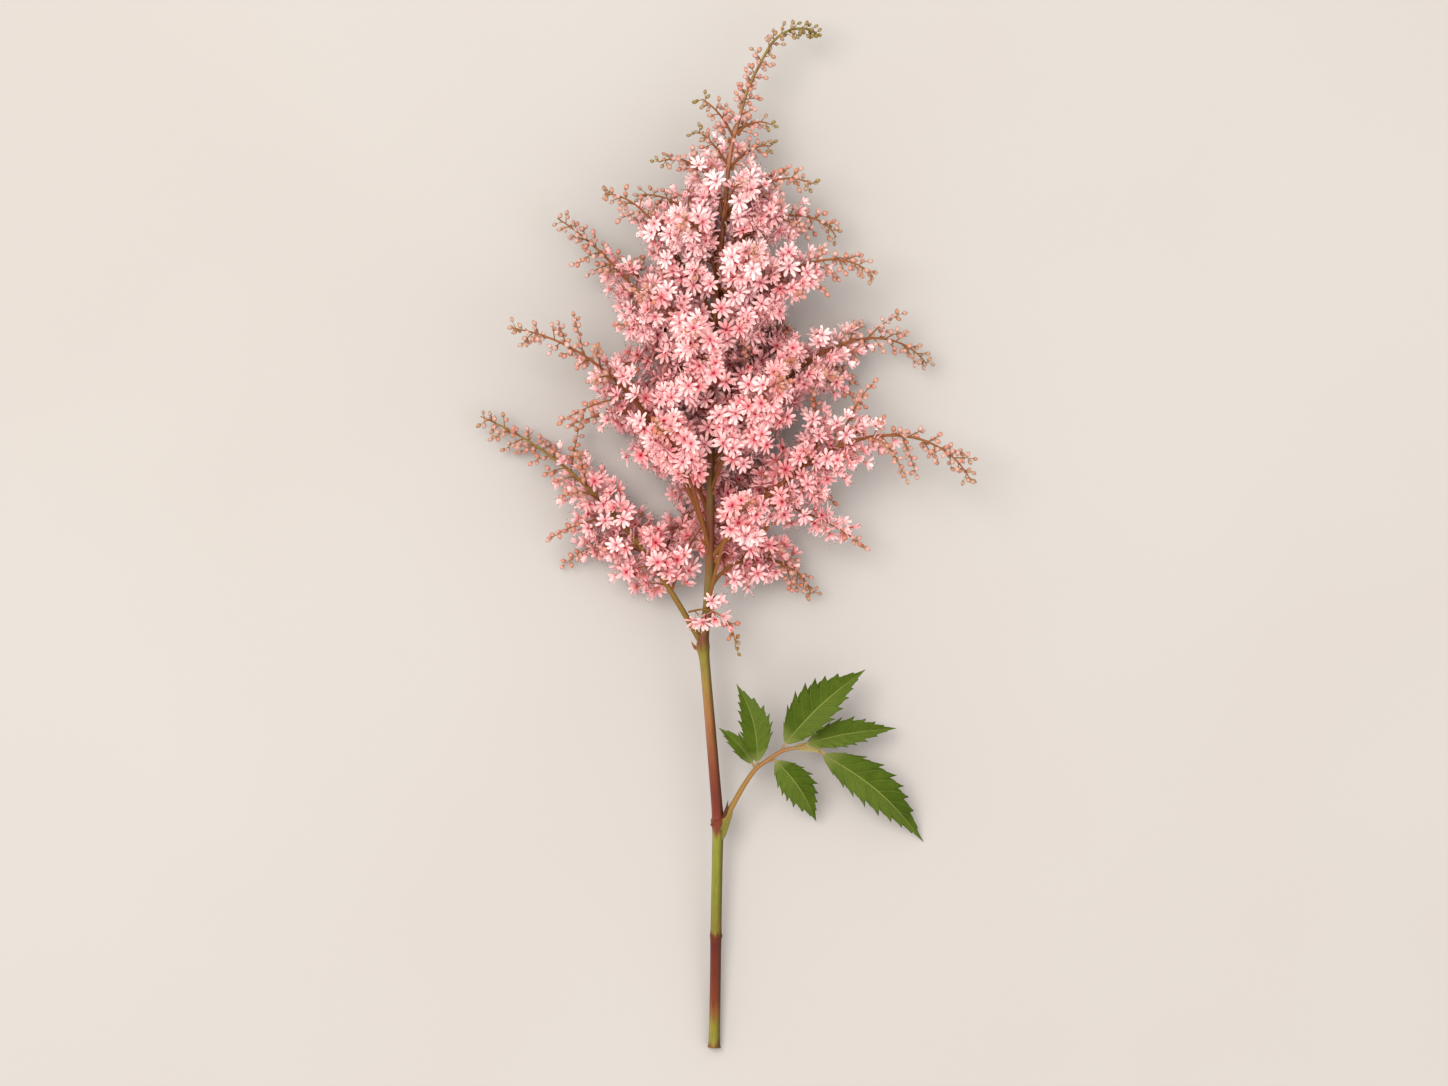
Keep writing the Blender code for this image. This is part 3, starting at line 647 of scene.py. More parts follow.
def petal_skins(heads, draw):
    """Each petal runs out from the middle. The lift off the floret's face goes from PETAL_LIFT_SHUT
    to PETAL_LIFT_OPEN as it opens, and it curls back by a square law along its length."""
    turns = spread_round(heads, PETALS, PETAL_STRAY_TURN, draw)
    lifts = PETAL_LIFT_SHUT + (PETAL_LIFT_OPEN - PETAL_LIFT_SHUT) * heads.openness[:, None]
    lifts = lifts + draw.uniform(-PETAL_STRAY_LIFT, PETAL_STRAY_LIFT, turns.shape)
    lifts = np.radians(lifts)[..., None]
    faces = np.repeat(heads.ways[:, None], PETALS, axis=1)
    outward = turned(faces, turns)
    along = (np.cos(lifts) * outward + np.sin(lifts) * faces).reshape(-1, 1, 3)
    normal = (np.cos(lifts) * faces - np.sin(lifts) * outward).reshape(-1, 1, 3)
    wide = np.cross(normal, along)
    sizes = np.repeat(heads.sizes, PETALS)[:, None, None]
    reach = PETAL_LENGTH * sizes * draw.uniform(*PETAL_LENGTHS, sizes.shape)
    curl = draw.uniform(*PETAL_CURLS, sizes.shape)
    root = np.repeat(heads.points, PETALS, axis=0)[:, None]
    share = PETAL_STATIONS[:, None]
    middle = root + reach * (share * along - curl * share**2 * normal)
    half_width = sizes * PETAL_HALF_WIDTHS[:, None] * wide
    keel = sizes * PETAL_DEPTHS[:, None] * normal
    rings = np.stack((middle + half_width, middle - half_width, middle - keel), 2)
    tips = root + reach * (along - curl * normal)
    youth = np.repeat(heads.youth, PETALS)
    tint = np.repeat(heads.tint, PETALS)
    return skins(rings, root[:, 0], tips[:, 0], PETAL_CHART, youth, tint)


def stamen_skins(heads, draw):
    """A stamen is a thread that widens into its anther near its end. It leans off the floret's
    direction by STAMEN_LEANS when the floret is open, and by 0.3 of that when it is shut."""
    turns = spread_round(heads, STAMENS, STAMEN_STRAY_TURN, draw)
    leans = draw.uniform(*STAMEN_LEANS, turns.shape) * (0.3 + 0.7 * heads.openness[:, None])
    leans = np.radians(leans)[..., None]
    faces = np.repeat(heads.ways[:, None], STAMENS, axis=1)
    along = (np.cos(leans) * faces + np.sin(leans) * turned(faces, turns)).reshape(-1, 1, 3)
    sizes = np.repeat(heads.sizes, STAMENS)[:, None, None]
    reach = STAMEN_LENGTH * sizes * draw.uniform(*STAMEN_LENGTHS, sizes.shape)
    root = np.repeat(heads.points, STAMENS, axis=0)[:, None]
    middle = root + reach * STAMEN_STATIONS[:, None] * along
    side, other = across(along)
    spokes = spokes_round(side[:, :, None], other[:, :, None], STAMEN_SIDES)
    rings = middle[:, :, None] + STAMEN_RADII[:, None, None] * spokes
    tips = root + reach * along
    return skins(rings, root[:, 0], tips[:, 0], STAMEN_CHART, 0.0, np.repeat(heads.tint, STAMENS))


# %% The middle of a floret, and a bud
Bead = namedtuple("Bead", "stations radii sides chart")
PISTIL = Bead((-0.1, 0.55, 1.5), (0.6,), 4, (0.53, 0.54, 0.57))
SEPALS = Bead((-1.1, -0.2, 0.35), (0.85,), 5, (0.62, 0.60, 0.60))
BUD = Bead((-1.2, -0.7, 0.15, 0.95, 1.4), (0.6, 0.88, 0.56), 6, (0.72, 0.74, 0.80, 0.86, 0.88))


def beads(heads, stations, radii, sides, chart):
    """Turned beads: rings of the given radii at stations along each head's direction, with a pole
    at the first station and at the last."""
    side, other = across(heads.ways)
    spokes = spokes_round(side[:, None], other[:, None], sides)
    sizes = heads.sizes[:, None, None]
    line = heads.points[:, None] + sizes * np.array(stations)[:, None] * heads.ways[:, None]
    widths = (sizes * np.array(radii)[:, None])[..., None]
    rings = line[:, 1:-1, None] + widths * spokes[:, None]
    return skins(rings, line[:, 0], line[:, -1], chart, heads.youth, heads.tint)


def floret_skins(heads, draw):
    """Petals, stamens, a pistil and a cup of sepals for every open head."""
    middles = [beads(heads, *PISTIL), beads(heads, *SEPALS)]
    return [petal_skins(heads, draw), stamen_skins(heads, draw)] + middles


# %% [markdown]
# ### The plume's colours
#
# A paint chart holds every colour of a floret, a bud and a twig side by side on one ramp, and each
# point knows its place on the chart. A second ramp holds the same places for young growth, which is
# greener, and each point also knows how young it is. A third number, the tint, makes a head paler or
# deeper. So one finish colours a whole spray. Petals are thin, so light passes through them, which
# the finish gives as scattering under the surface.

# %% Plume finish
PALEST = 1.6
GROWN_CHART = (
    (0.00, "#9c3040"),
    (0.10, "#e07e86"),
    (0.20, "#ebaaab"),
    (0.28, "#eeb4b3"),
    (0.34, "#f1bdba"),
    (0.40, "#dc888a"),
    (0.44, "#eeaeae"),
    (0.50, "#501e24"),
    (0.53, "#7e2634"),
    (0.57, "#ac4a58"),
    (0.60, "#c08070"),
    (0.62, "#9c6c4c"),
    (0.66, "#a06a48"),
    (0.72, "#86583f"),
    (0.80, "#b47c6c"),
    (0.88, "#966450"),
    (0.92, "#68401e"),
    (0.96, "#744428"),
    (1.00, "#845434"),
)
YOUNG_CHART = (
    (0.00, "#b86472"),
    (0.34, "#dca09e"),
    (0.50, "#683c34"),
    (0.60, "#84683a"),
    (0.66, "#80683a"),
    (0.72, "#5c541e"),
    (0.80, "#857034"),
    (0.88, "#5f4c22"),
    (0.92, "#6a5c26"),
    (1.00, "#7c6a34"),
)


def plume_finish():
    finish = Finish(
        "plume", Roughness=0.7, Specular_IOR_Level=0.12, Subsurface_Weight=0.3,
        Subsurface_Scale=2.0 * MM, Subsurface_Radius=(1.0, 0.6, 0.6),
    )
    chart = finish.attribute("chart")
    colour = finish.mix(
        finish.attribute("youth"), finish.ramp(chart, GROWN_CHART), finish.ramp(chart, YOUNG_CHART)
    )
    mottle = finish.grain(scale=700.0, detail=2.0)
    value = finish.maths(
        "MULTIPLY",
        finish.span(finish.attribute("tint"), 0.0, PALEST, 0.9, 1.12),
        finish.span(mottle, 0.3, 0.7, 0.95, 1.05),
    )
    saturation = finish.span(finish.attribute("tint"), 0.0, PALEST, 1.2, 0.6)
    finish.colour(finish.shade(colour, value, saturation))
    finish.bump(finish.grain(scale=2600.0, detail=2.0), 0.06, 0.4)
    return finish


PLUME_FINISH = plume_finish()

# %% [markdown]
# ## Sprays
#
# The plume is thirty arching shoots. A shoot leaves the axis at one angle and bends over to
# another, so its direction at each step is a mix of straight out and straight up the stem. Branchlets
# stand round it in a spiral, mostly short, with a long one now and then, and sag back towards the foot
# of the stem. Florets open from the inside outwards, so the tips still carry buds.

# %% Sprays, as in the solids
Spray = namedtuple("Spray", "name y turn root_lean tip_lean lateness length")
SPRAY_ROWS = (
    ("left_1", -43.6, 189, 30, 68, 1.6, 132),
    ("left_2", -1.6, 168, 22, 83, 1.8, 123),
    ("left_3", 52.8, 191, 32, 58, 2.2, 99),
    ("left_4", 86.8, 166, 32, 95, 4.7, 70),
    ("left_5", 110.0, 196, 26, 97, 1.8, 46),
    ("left_6", 129.6, 172, 14, 113, 1.5, 38),
    ("left_7", 148.0, 195, 34, 66, 2.4, 20),
    ("right_1", -24.0, 338, 10, 150, 0.8, 58),
    ("right_2", -8.8, 9, 42, 155, 2.4, 130),
    ("right_3", 30.0, 350, 41, 148, 3.0, 111),
    ("right_4", 76.8, 14, 42, 138, 2.6, 79),
    ("right_5", 109.6, 350, 43, 150, 2.0, 57),
    ("right_6", 128.8, 12, 50, 127, 2.4, 40),
    ("right_7", 147.6, 346, 49, 104, 2.8, 20),
    ("left_8", 158.8, 165, 24, 60, 1.3, 21),
    ("right_8", 161.5, 15, 56, 117, 1.9, 15),
    ("upper_1", -30.0, 72, 34, 84, 1.8, 72),
    ("upper_2", -6.0, 112, 32, 80, 1.8, 78),
    ("upper_3", 18.0, 58, 34, 84, 1.8, 72),
    ("upper_4", 42.0, 98, 32, 86, 1.8, 66),
    ("upper_5", 62.0, 132, 32, 88, 1.8, 60),
    ("upper_6", 82.0, 66, 34, 90, 1.8, 52),
    ("upper_7", 102.0, 114, 34, 94, 1.8, 42),
    ("upper_8", 124.0, 74, 36, 96, 1.8, 30),
    ("lower_1", -18.0, 296, 34, 72, 1.5, 74),
    ("lower_2", 8.0, 232, 32, 72, 1.5, 82),
    ("lower_3", 40.0, 302, 34, 76, 1.5, 74),
    ("lower_4", 64.0, 240, 32, 78, 1.5, 62),
    ("lower_5", 92.0, 300, 34, 84, 1.6, 46),
    ("lower_6", 116.0, 244, 34, 88, 1.6, 34),
)
SPRAYS = [Spray("spray_" + name, *numbers) for name, *numbers in SPRAY_ROWS]
SHOOT_STATIONS = 40
SHOOT_SIDES = 8
SHOOT_TIP_RADIUS = 0.26
FLOOR_CLEARANCE = 2.2
FLOOR_SOFTNESS = 6.0
SEED = 20
GOLDEN_ANGLE = 137.5


def outward_of(spray):
    """The direction square to the stem in which a spray leaves it."""
    turn = math.radians(spray.turn)
    return np.array((math.cos(turn), 0.0, math.sin(turn)))


def shoot_line(spray):
    """The arching line of a spray, from the axis to its tip, eased up off the table.

    Its lean off the stem goes from root_lean to tip_lean with a power, lateness, of the share.
    """
    root = stem_point(spray.y)
    shares = np.linspace(0, 1, SHOOT_STATIONS)
    leans = spray.root_lean + (spray.tip_lean - spray.root_lean) * shares**spray.lateness
    leans = np.radians(leans)[:, None]
    steps = np.sin(leans) * outward_of(spray) + np.cos(leans) * UP_THE_STEM
    steps = 0.5 * (steps[1:] + steps[:-1]) * spray.length / (SHOOT_STATIONS - 1)
    line = root + np.vstack((np.zeros(3), np.cumsum(steps, axis=0)))
    line = lifted(line, FLOOR_CLEARANCE, FLOOR_SOFTNESS)
    line[:, 2] -= (line[0, 2] - root[2]) * (1 - shares)
    return line


# %% Branchlets
BRANCHLET_STATIONS = 8
BRANCHLET_SIDES = 5
BRANCHLET_SAG = 0.75
BRANCHLET_LEANS = (46, 62)
BRANCHLET_STRAY_TURN = 20
BRANCHLET_TIP_RADIUS = 0.16
BRANCHLET_ROOT_RADIUS = 0.26
THICKER_PER_LENGTH = 0.009
GREENER_FROM = 0.35
SPACING = 1.5
SPACING_PER_LENGTH = 0.0085
SHORTEST_BRANCHLET = 1.8
LONGEST_BRANCHLET = 46.0
LONG_EVERY = 3
LONG_SHARE = 0.42
SHORT_SHARE = 0.125
ALWAYS_BARE = 0.12
LAST_BRANCHLET = 0.985
FRONT_BARE = 0.48
FRONT_THINNED = 0.22
LOW_BARE = 0.07
LOW_FROM = 30.0
LOW_DEPTH = 50.0
CROWDING = 1.2
BRANCHLET_LENGTHS = (0.75, 1.15)


def spray_branchlets(spray, draw):
    """Shares of the shoot where branchlets leave it, and their lengths.

    Every third one is long, LONG_SHARE of the shoot at its foot, and all shorten towards the tip.
    Low shoots are bare for longer, most of all those in front of the axis, so the axis shows. Shoots
    in front are also thinner set.
    """
    low = np.clip((LOW_FROM - spray.y) / LOW_DEPTH, 0, 1)
    front = max(0.0, math.sin(math.radians(spray.turn)))
    bare = ALWAYS_BARE + low * (LOW_BARE + FRONT_BARE * front)
    spacing = (SPACING + SPACING_PER_LENGTH * spray.length) / (1 - FRONT_THINNED * front)
    count = int((1 - bare) * spray.length / spacing)
    shares = bare + (LAST_BRANCHLET - bare) * (1 - (1 - np.linspace(0, 1, count)) ** CROWDING)
    is_long = (np.arange(count) + int(spray.turn)) % LONG_EVERY == 0
    room = spray.length * (1 - shares) ** 0.85
    lengths = np.where(is_long, LONG_SHARE * room, SHORTEST_BRANCHLET + SHORT_SHARE * room)
    lengths = lengths * draw.uniform(*BRANCHLET_LENGTHS, count)
    return shares, np.clip(lengths, SHORTEST_BRANCHLET, LONGEST_BRANCHLET)


def branchlet_lines(line, shares, lengths, draw):
    """Lines (count, stations, 3) that leave the shoot in a spiral and sag as they go out."""
    count = len(shares)
    roots, ways = at_share(line, shares)
    stray = draw.uniform(-BRANCHLET_STRAY_TURN, BRANCHLET_STRAY_TURN, count)
    sides = turned(ways, GOLDEN_ANGLE * np.arange(count) + stray)
    leans = np.radians(draw.uniform(*BRANCHLET_LEANS, count))[:, None, None]
    steps = np.linspace(0, 1, BRANCHLET_STATIONS)[:, None]
    headings = np.cos(leans) * ways[:, None] + np.sin(leans) * sides[:, None]
    sag = BRANCHLET_SAG * (lengths / LONGEST_BRANCHLET)[:, None, None] ** 0.5
    headings = unit(headings - sag * steps * UP_THE_STEM)
    headings = 0.5 * (headings[:, 1:] + headings[:, :-1])
    reach = (lengths / (BRANCHLET_STATIONS - 1))[:, None, None]
    run = np.cumsum(headings * reach, axis=1)
    lines = roots[:, None] + np.concatenate((np.zeros((count, 1, 3)), run), axis=1)
    eased = lifted(lines, FLOOR_CLEARANCE, FLOOR_SOFTNESS)
    eased[..., 2] -= (eased[:, :1, 2] - lines[:, :1, 2]) * (1 - steps[:, 0])
    return eased


def branchlet_tubes(lines, shares, lengths):
    """Thin stalks, thicker where a branchlet is long, and greener towards the shoot's tip."""
    steps = np.linspace(0, 1, BRANCHLET_STATIONS)
    thick = (BRANCHLET_ROOT_RADIUS + THICKER_PER_LENGTH * lengths)[:, None]
    radii = BRANCHLET_TIP_RADIUS + (thick - BRANCHLET_TIP_RADIUS) * (1 - steps)
    chart = np.concatenate(((0.94,), 0.94 + 0.06 * steps, (1.0,)))
    return tubes(lines, radii, BRANCHLET_SIDES, chart, np.clip(shares - GREENER_FROM, 0, 1))


# %% Heads on the branchlets
HEAD_SPACING = 1.35
HEAD_STRAY_TURN = 25
HEAD_LEANS = (42, 78)
HEAD_SIZES = (0.92, 1.08)
ALONG_YOUTH = 0.9
OUTWARD_YOUTH = 1.45
STRAY_YOUTH = 0.07
FULL_YOUTH_LENGTH = 22.0
FLORET_YOUTH = 0.72
OPENING = 0.16
GREEN_FROM = 1.25
GREEN_OVER = 0.7
STALK_SIDES = 3
STALK_RADII = np.array((0.17, 0.13, 0.2))
BUD_STALKS = (0.4, 1.2)
FLORET_STALK = 1.6
LONGER_INWARDS = 3.0
FLORET_STRAY_STALKS = (0, 1.4)
STALK_BEND = 0.2
AXIS_PULL = np.array((1.0, 0.3, 1.0))
FACING_OUT = 0.55
FACING_STRAY = 0.25
AXIS_ROOM = 4.2
LEFT_OUT = ((-50.0, 34.0, 46.0, 76.0, 86.0, 164.0, 166.0), (0.92, 0.92, 0.35, 0.35, 0.92, 0.92, 0.0))
SHOOT_ROOM = 2.4
LEFT_OUT_AT_SHOOT = 0.7
PALER_UP = (40.0, 140.0)
PALER_OUT = (30.0, 80.0)
MOST_PALER = 0.52


def head_feet(lines, shares, lengths, base_youth, draw):
    """Where the heads' stalks leave the branchlets, their directions, and how young each head is.

    Youth is ALONG_YOUTH of the share along a long branchlet, or a quarter of that on a short one,
    plus OUTWARD_YOUTH times the square of the branchlet's share along the shoot, plus the spray's
    own youth.
    """
    counts = np.maximum(1, np.round(0.4 + lengths / HEAD_SPACING)).astype(int)
    owner = np.repeat(np.arange(len(lines)), counts)
    order = np.arange(len(owner)) - np.repeat(np.cumsum(counts) - counts, counts)
    along = np.minimum((order + 0.9) / (counts[owner] - 0.1), 1.0)
    places = along * (BRANCHLET_STATIONS - 1)
    low = np.minimum(places.astype(int), BRANCHLET_STATIONS - 2)
    start, end = lines[owner, low], lines[owner, low + 1]
    feet = start + (places - low)[:, None] * (end - start)
    ways = unit(end - start)
    reach = np.clip(lengths / FULL_YOUTH_LENGTH, 0.25, 1.0)
    youth = ALONG_YOUTH * reach[owner] * along + OUTWARD_YOUTH * shares[owner] ** 2 + base_youth
    youth += draw.uniform(-STRAY_YOUTH, STRAY_YOUTH, len(owner))
    stray = draw.uniform(-HEAD_STRAY_TURN, HEAD_STRAY_TURN, len(owner))
    turns = GOLDEN_ANGLE * order + 90 * owner + stray
    leans = np.radians(np.where(along > 0.99, 5, draw.uniform(*HEAD_LEANS, len(owner))))[:, None]
    stalks = unit(np.cos(leans) * ways + np.sin(leans) * turned(ways, turns))
    return feet, stalks, youth, (1 - along) * lengths[owner] / LONGEST_BRANCHLET


def chosen(heads, mask):
    """Only the heads for which the mask is true."""
    return Heads(*(field[mask] for field in heads))


def leaves_clear(points, shoot, draw):
    """True for heads to keep. Most of those that would stand before the axis or before their own
    shoot are left out, so both show as fine lines. LEFT_OUT gives the share left out at heights
    along the axis. It is low in the plume's thick middle, where florets cover the axis."""
    axis = stem_point(points[:, 1])
    before_axis = (np.abs(points[:, 0] - axis[:, 0]) < AXIS_ROOM) & (points[:, 2] > axis[:, 2])
    gaps = np.linalg.norm(points[:, None, :2] - shoot[None, :, :2], axis=-1)
    before_shoot = (gaps.min(1) < SHOOT_ROOM) & (points[:, 2] > shoot[gaps.argmin(1), 2])
    left_out = before_axis * np.interp(points[:, 1], *LEFT_OUT)
    left_out = np.maximum(left_out, before_shoot * LEFT_OUT_AT_SHOOT)
    return draw.uniform(0, 1, len(points)) > left_out


def paler(points):
    """How much paler heads are: more towards the plume's top, and more towards the arms' ends."""
    outwards = np.abs(points[:, 0] - stem_point(points[:, 1])[:, 0])
    up, out = np.interp(points[:, 1], PALER_UP, (0, 1)), np.interp(outwards, PALER_OUT, (0, 1))
    return np.minimum(MOST_PALER * (up + out), PALEST - 1)


def head_skins(lines, shares, lengths, base_youth, shoot, draw):
    """Florets and buds on their stalks. Heads turn outward from the plume's axis.

    A floret grows from 0.8 to 1.02 of full size as it opens. A bud is 1.2 of full size, and smaller
    the younger it is. Heads turn green where youth goes past GREEN_FROM.
    """
    found = head_feet(lines, shares, lengths, base_youth, draw)
    if shoot is not None:
        kept = leaves_clear(found[0] + 3.0 * found[1], shoot, draw)
        found = [field[kept] for field in found]
    feet, stalks, youth, inwards = found
    count = len(feet)
    openness = np.clip((FLORET_YOUTH + 0.5 * OPENING - youth) / OPENING, 0, 1)
    is_floret = openness > 0
    long_stalk = FLORET_STALK + LONGER_INWARDS * inwards + draw.uniform(*FLORET_STRAY_STALKS, count)
    stalk_length = np.where(is_floret, long_stalk, draw.uniform(*BUD_STALKS, count))
    tops = feet + stalk_length[:, None] * stalks
    outward = unit((tops - stem_point(tops[:, 1])) * AXIS_PULL)
    pull = np.where(is_floret, FACING_OUT, 0.0)[:, None]
    facing = unit(stalks + pull * outward + draw.normal(0, FACING_STRAY, stalks.shape))
    green = np.clip((youth - GREEN_FROM) / GREEN_OVER, 0, 1)
    tint = draw.uniform(0, 1, count) + paler(tops)
    bend = STALK_BEND * draw.normal(0, 1, tops.shape)
    stalk_lines = np.stack((feet, 0.5 * (feet + tops) + bend, tops), 1)
    radii = np.broadcast_to(STALK_RADII, (count, 3))
    stalk_tubes = tubes(stalk_lines, radii, STALK_SIDES, np.full(5, 0.66), green)
    sizes = np.where(is_floret, 0.8 + 0.22 * openness, 1.2 - 0.28 * np.clip(youth - 0.9, 0, 1.1))
    sizes *= draw.uniform(*HEAD_SIZES, count)
    spins = draw.uniform(0, 360, count)
    tops += np.where(is_floret, 0.9, 0.8)[:, None] * facing
    heads = Heads(tops, facing, spins, sizes, openness, green, tint)
    parts = [stalk_tubes, beads(chosen(heads, ~is_floret), *BUD)]
    if is_floret.any():
        parts += floret_skins(chosen(heads, is_floret), draw)
    return parts, np.array((is_floret.sum(), (~is_floret).sum()))


def grown(line, shares, lengths, youth, shoot, draw):
    """Branchlets along a line with all their heads, and how many florets and buds those are."""
    lines = branchlet_lines(line, shares, lengths, draw)
    heads, counts = head_skins(lines, shares, lengths, youth, shoot, draw)
    return [branchlet_tubes(lines, shares, lengths)] + heads, counts


# %% Grow the sprays
BRACT_LENGTH = 3.4
BRACT_HALF_WIDTH = 0.75
SHOOT_ROOT_RADIUS = 0.5
SHOOT_THICKER_PER_LENGTH = 0.0058
TOP_YOUTH = 0.7
YOUNG_FROM = 90.0
YOUNG_OVER = 75.0
OPEN_IN_DEPTH = 1.1


def bract_skin(spray):
    """The small pointed scale under the foot of a shoot. It stands out from the stem and curls up
    by a square law."""
    outward = outward_of(spray)
    stem_radius = stem_at(spray.y)[3]
    start = stem_point(spray.y) + stem_radius * 0.8 * outward
    reach = BRACT_LENGTH * (0.6 + 0.4 * spray.length / SPRAYS[0].length)
    share = np.array((0.0, 0.33, 0.67, 1.0))[:, None]
    points = start + reach * (0.8 * share * outward + (0.95 * share**2 - 0.35) * UP_THE_STEM)
    return pointed_strap(points, BRACT_HALF_WIDTH, 0.2, 0.94)


def spray_youth(spray):
    """Sprays near the top are younger. Those in front and behind are open almost to their tips."""
    depth = abs(math.sin(math.radians(spray.turn)))
    up = np.clip((spray.y - YOUNG_FROM) / YOUNG_OVER, 0, 1)
    return TOP_YOUTH * up**1.5 - OPEN_IN_DEPTH * max(0.0, depth - 0.4)


def spray_skins(spray, number):
    """Every skin of one spray, and how many florets and buds it has."""
    draw = np.random.default_rng(SEED + number)
    line = shoot_line(spray)
    along = np.linspace(0, 1, SHOOT_STATIONS)
    root_radius = SHOOT_ROOT_RADIUS + SHOOT_THICKER_PER_LENGTH * spray.length
    radii = SHOOT_TIP_RADIUS + (root_radius - SHOOT_TIP_RADIUS) * (1 - along) ** 0.9
    chart = np.concatenate(((0.92,), 0.92 + 0.08 * along, (1.0,)))
    green = np.clip(0.25 * (spray_youth(spray) + 0.5) - 0.02 * (spray.y + 20), 0, 0.6)
    shoot = tubes(line[None], radii[None], SHOOT_SIDES, chart, green)
    shares, lengths = spray_branchlets(spray, draw)
    branchlets, counts = grown(line, shares, lengths, spray_youth(spray), line, draw)
    return [shoot, bract_skin(spray)] + branchlets, counts


totals = np.zeros(3, int)
for number, spray in enumerate(SPRAYS):
    parts, counts = spray_skins(spray, number)
    piece = add_piece(spray.name + "_bloom", parts, PLUME_FINISH, "spray", spray.name)
    totals += (*counts, triangle_count(piece))
print("florets", totals[0], "buds", totals[1], "triangles", totals[2])

# %% [markdown]
# ## A sprig across the stem
#
# Just above the fork a small sprig leaves the lowest left shoot, crosses in front of the stem and
# hangs down on its right. It is drawn as a line of its own, since no rule of the other branchlets
# would put it there.

# %% Sprig
SPRIG = (
    (-13.6, -30.0, 22.0),
    (-7.8, -29.0, 25.0),
    (-1.8, -30.8, 27.0),
    (2.6, -34.4, 26.6),
    (4.6, -39.6, 25.0),
    (5.4, -45.0, 23.4),
)
SPRIG_RADIUS = 0.45
SPRIG_TWIGS = 8
SPRIG_YOUTH = 0.42
SPRIG_SHORTEST = 1.6
SPRIG_LONGER = 2.2


def sprig_skins():
    """The sprig's own stalk, and short twigs along it that shorten towards its end."""
    draw = np.random.default_rng(SEED - 1)
    line = smooth_line(SPRIG, 6)
    radii = np.linspace(SPRIG_RADIUS, SHOOT_TIP_RADIUS, len(line))
    stalk = tubes(line[None], radii[None], SHOOT_SIDES, np.linspace(0.92, 1.0, len(line) + 2), 0.4)
    shares = np.linspace(0.08, 0.98, SPRIG_TWIGS)
    lengths = SPRIG_SHORTEST + SPRIG_LONGER * (1 - shares)
    lengths = lengths * draw.uniform(0.7, 1.1, SPRIG_TWIGS)
    twigs, counts = grown(line, shares, lengths, SPRIG_YOUTH, None, draw)
    print("sprig florets", counts[0], "buds", counts[1])
    return [stalk] + twigs


add_piece("spray_left_1_sprig", sprig_skins(), PLUME_FINISH, "spray", "spray_left_1")

# %% [markdown]
# ## The nodding tip
#
# Above the last sprays the axis itself carries bud clusters on short twigs, and at its very end the
# buds sit close together like a row of beads. It is grown like a spray, along the stem's own line.

# %% Tip buds
TIP_FROM = 150.0
TIP_YOUTH = 0.95
TIP_TWIGS = 46
TIP_CROWDING = 1.3
TIP_SHORTEST = 1.0
TIP_LONGER = 7.0


def tip_skins():
    """Twigs of buds on the stem's last stretch. They shorten and stand closer towards its end."""
    draw = np.random.default_rng(SEED + len(SPRAYS))
    line = stem_line[stem_line[:, 1] > TIP_FROM]
    shares = 0.995 * (1 - (1 - np.linspace(0, 1, TIP_TWIGS)) ** TIP_CROWDING)
    lengths = TIP_SHORTEST + TIP_LONGER * (1 - shares)
    lengths = lengths * draw.uniform(0.6, 1.1, TIP_TWIGS)
    twigs, counts = grown(line, shares, lengths, TIP_YOUTH, line, draw)
    print("tip buds", counts[1])
    return twigs


add_piece("stem_tip_buds", tip_skins(), PLUME_FINISH, "spray", "stem")

# %% [markdown]
# ## The leaf stalk
#
# One compound leaf grows from the collar. Its stalk arches up and over, and each leaflet sits on a
# short stalk of its own. They are the same skins as the stem's, thinner. Each begins inside what
# carries it, as a grown thing does. Near the last two leaflets the stalk has a pale wing.

# %% Leaf stalk points, as in the solids, and its root in the stem
LEAF_STALK = (
    (-1.0, -117.0, 13.2, 1.9),
    (1.6, -111.8, 14.2, 1.5),
    (4.2, -107.5, 14.8, 1.15),
    (8.4, -100.0, 16.6, 1.05),
    (13.2, -93.2, 18.2, 0.95),
    (18.0, -89.6, 19.2, 0.9),
    (23.8, -85.9, 19.6, 0.85),
    (31.0, -84.4, 18.6, 0.75),
    (38.4, -85.6, 16.4, 0.65),
)
LEAF_STALK_SIDES = 14
Leaflet = namedtuple("Leaflet", "name joint foot tip half_widths bow arch roll teeth")
LEAFLETS = (
    Leaflet("leaflet_1", 4, (14.0, -90.0, 20.0), (5.6, -58.8, 26.0), (8.0, 6.4), -2.6, 4.0, 12, 8),
    Leaflet("leaflet_2", 4, (11.9, -90.8, 19.0), (-1.4, -76.4, 24.2), (4.0, 3.6), -1.2, 1.2, -10, 5),
    Leaflet("leaflet_3", 6, (25.2, -82.6, 20.6), (57.4, -53.2, 16.0), (8.2, 11.8), 1.8, 6.0, 8, 9),
    Leaflet("leaflet_4", 7, (34.0, -82.7, 18.2), (70.0, -77.0, 9.0), (5.6, 7.2), 1.2, 3.0, -14, 8),
    Leaflet("leaflet_5", 8, (40.6, -87.4, 15.6), (81.0, -123.0, 0.4), (8.3, 10.4), 3.4, 7.0, -6, 9),
    Leaflet("leaflet_6", 5, (21.6, -89.8, 18.6), (37.8, -114.6, 5.0), (7.8, 8.0), 1.7, 4.0, 10, 8),
)
WING = ((29.0, -84.2, 18.9), (34.4, -84.3, 17.9), (38.8, -85.6, 16.5), (43.0, -88.6, 15.2))
WING_HALF_WIDTH = 1.7
SIDE_STALK_RADII = (0.6, 0.45, 0.3)
SIDE_STALK_SIDES = 10
SIDE_STALK_BEND = 0.3
INTO_BLADE = 1.6
LEAF_STALK_CHART = (
    (0.0, "#7e7c28"),
    (0.12, "#a08434"),
    (0.3, "#b08440"),
    (0.55, "#b07e42"),
    (0.75, "#b27c4a"),
    (1.0, "#bcae6c"),
)


